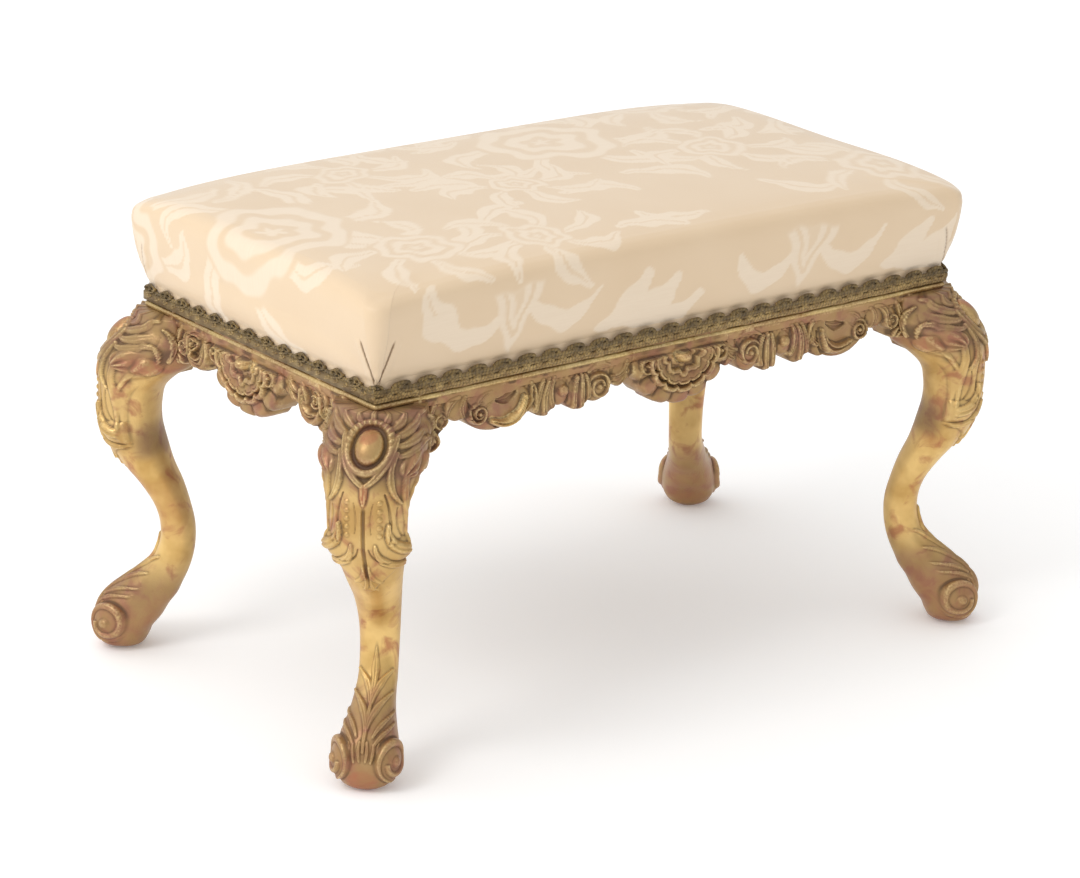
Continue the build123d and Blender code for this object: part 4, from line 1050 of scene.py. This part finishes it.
# Each looped cord: loops to a repeat, their swing along and rise, level, how far out they lie,
# the cord's radius and the points to a loop
loops = (
    (1, 15.5, 4.1, 12.2, 2.0, 2.3, 40), (1, 8.6, 1.2, 12.4, 3.4, 2.0, 26), (2, 6.0, 1.8, 5.6, 2.4, 1.9, 22),
)
cords = []
for share, swing, rise, level, stand, radius, steps in loops:
    count = repeats * share
    phase = np.linspace(0, 2 * np.pi * count, count * steps, endpoint=False)
    along = perimeter / count * phase / (2 * np.pi) - swing * np.sin(phase) + 0.55 * rise * np.cos(phase)
    lift = stand + 0.7 * np.cos(phase / 2 / share) ** 2
    cords.append((along, gimp_low + level + rise * np.cos(phase), lift, radius))
# A straight cord along the lower edge, and the woven band behind them all
band_steps, band_height = 900, 8.5
along = np.linspace(0, perimeter, band_steps, endpoint=False)
cords.append((along, np.full(band_steps, gimp_low + 1.5), 1.6 + 0.25 * np.sin(along * 1.2), 1.6))
gimp_points, gimp_faces, gimp_twist, offset = [], [], [], 0
for spec in cords:
    tube, wound = cord(*spec)
    gimp_points.append(tube.reshape(-1, 3))
    gimp_faces.append(tube_faces(*wound.shape) + offset)
    gimp_twist.append(wound.ravel())
    offset += wound.size
band = []
for stand, level in ((1.6, 0), (gimp_stand + 1.2, 0), (gimp_stand + 1.2, band_height), (1.6, band_height)):
    x, y, _ = frame_place(along, stand)
    band.append(np.stack([x, y, np.full(band_steps, gimp_low + level)], axis=-1))
gimp_points.append(np.array(band).transpose(1, 0, 2).reshape(-1, 3))
gimp_faces.append(tube_faces(band_steps, 4)[:, ::-1] + offset)
# The band is darkened with painted shade where it lies behind the cords, by the value that darkens the cords
# between their windings
gimp_twist.append(np.full(band_steps * 4, 0.75))
gimp = skin(
    "scroll_gimp", np.vstack(gimp_points) * mm, np.vstack(gimp_faces).tolist(),
    {"thread": np.concatenate(gimp_twist)},
)

# Tarnished gilt thread: each cord is wound at a slant, dark between its windings, and the gold
# has gone olive brown with age, most in the upper loops.
thread, tree, shader = new_finish(
    "tarnished_gilt_thread", {"Metallic": 0.25, "Sheen Weight": 0.1, "Roughness": 0.55}
)
place = add(tree, "TexCoord", {}, {}, "Object")
windings = add(tree, "Attribute", {"attribute_name": "thread"}, {}, "Fac")
angle = add(tree, "Math", times, {0: windings, 1: 2 * np.pi})
stripes = add(tree, "Math", {"operation": "SINE"}, {0: angle})
patch = add(tree, "TexNoise", {}, {"Vector": place, "Scale": 120.0, "Detail": 4.0})
share = add(tree, "MapRange", {}, {0: patch, 1: 0.35, 2: 0.65})
lower = add(tree, "Mix", in_colour, {0: share, 6: "#86693A", 7: "#B79A62"}, 2)
upper = add(tree, "Mix", in_colour, {0: share, 6: "#5E4B28", 7: "#8F7645"}, 2)
high = add(tree, "SeparateXYZ", {}, {0: place}, 2)
row = add(tree, "MapRange", {}, {0: high, 1: (gimp_low + 6) * mm, 2: (gimp_low + 10) * mm})
colour = add(tree, "Mix", in_colour, {0: row, 6: lower, 7: upper}, 2)
dark = add(tree, "MapRange", {}, {0: stripes, 1: -1.0, 2: 0.0, 3: 0.5, 4: 0.0})
wire(tree, shader, {
    "Base Color": add(tree, "Mix", in_colour, {0: dark, 6: colour, 7: "#3A2C17"}, 2),
    "Normal": add(tree, "Bump", {}, {"Height": stripes, "Distance": 0.0003, "Strength": 0.5}),
})
gimp.data.materials.append(thread)
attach(gimp, "root")
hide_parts("gimp_braid")

# The studio: a pale floor under a white surround that is brightest high on the left, with a
# soft lamp there and a weak one at the right. The camera stands at the photograph's place.
floor_mesh = bpy.data.meshes.new("studio_floor")
floor_mesh.from_pydata([(-9, -9, 0), (9, -9, 0), (9, 9, 0), (-9, 9, 0)], [], [(0, 1, 2, 3)])
floor = placed("studio_floor", floor_mesh)
# The paper glows a little, as a light table does, so the shadows on it stay pale.
paper, tree, shader = new_finish("matt_white_paper", {
    "Roughness": 0.9, "Specular IOR Level": 0.2, "Emission Color": (1, 1, 1, 1), "Emission Strength": 0.14,
})
tooth = add(tree, "TexNoise", {}, {"Vector": add(tree, "TexCoord", {}, {}, "Object"), "Scale": 3.0})
wire(tree, shader, {"Base Color": add(tree, "Mix", in_colour, {0: tooth, 6: "#FAFAFA", 7: "#FDFDFD"}, 2)})
floor_mesh.materials.append(paper)

world = bpy.data.worlds.new("white_surround")
world.use_nodes = True
tree = world.node_tree
toward = add(tree, "TexCoord", {}, {}, "Generated")
lit = add(tree, "VectorMath", {"operation": "DOT_PRODUCT"}, {0: toward, 1: (-0.50, 0.42, 0.76)}, "Value")
background = tree.nodes["Background"]
background.inputs["Color"].default_value = (1, 1, 1, 1)
strength = add(tree, "MapRange", {}, {0: lit, 1: -0.8, 2: 0.9, 3: 0.27, 4: 1.15})
wire(tree, background, {"Strength": strength})
bpy.context.scene.world = world
bpy.context.scene.view_settings.view_transform = "Standard"

for name, place, aim, size, power in (
    ("high_left", (-2.8, -0.2, 2.8), (0, 0, 0.3), 1.4, 32),
    ("low_right", (2.6, -2.6, 1.4), (0, 0, 0.25), 1.2, 4),
):
    lamp = bpy.data.lights.new(name, "AREA")
    lamp.size = size
    lamp.energy = power
    light = placed(name, lamp)
    light.location = place
    light.rotation_euler = (Vector(aim) - Vector(place)).to_track_quat("-Z", "Y").to_euler()

# The camera aims at a point on the stool's middle line, rolled a little and slid aside
camera_azimuth, camera_elevation, camera_roll = np.radians((-38.3469, 19.1508, 1.5378))
aim_height, slide_right, slide_up, camera_distance = 0.222, -0.00788, -0.00944, 4.0563
turn = Matrix.Rotation(camera_azimuth, 4, "Z") @ Matrix.Rotation(np.pi / 2 - camera_elevation, 4, "X")
turn = Matrix.Translation((0, 0, aim_height)) @ turn @ Matrix.Rotation(camera_roll, 4, "Z")
lens = bpy.data.cameras.new("photograph")
lens.sensor_width = 36
lens.lens = 130.74
camera = placed("photograph", lens)
camera.matrix_world = turn @ Matrix.Translation((slide_right, slide_up, camera_distance))
bpy.context.scene.camera = camera
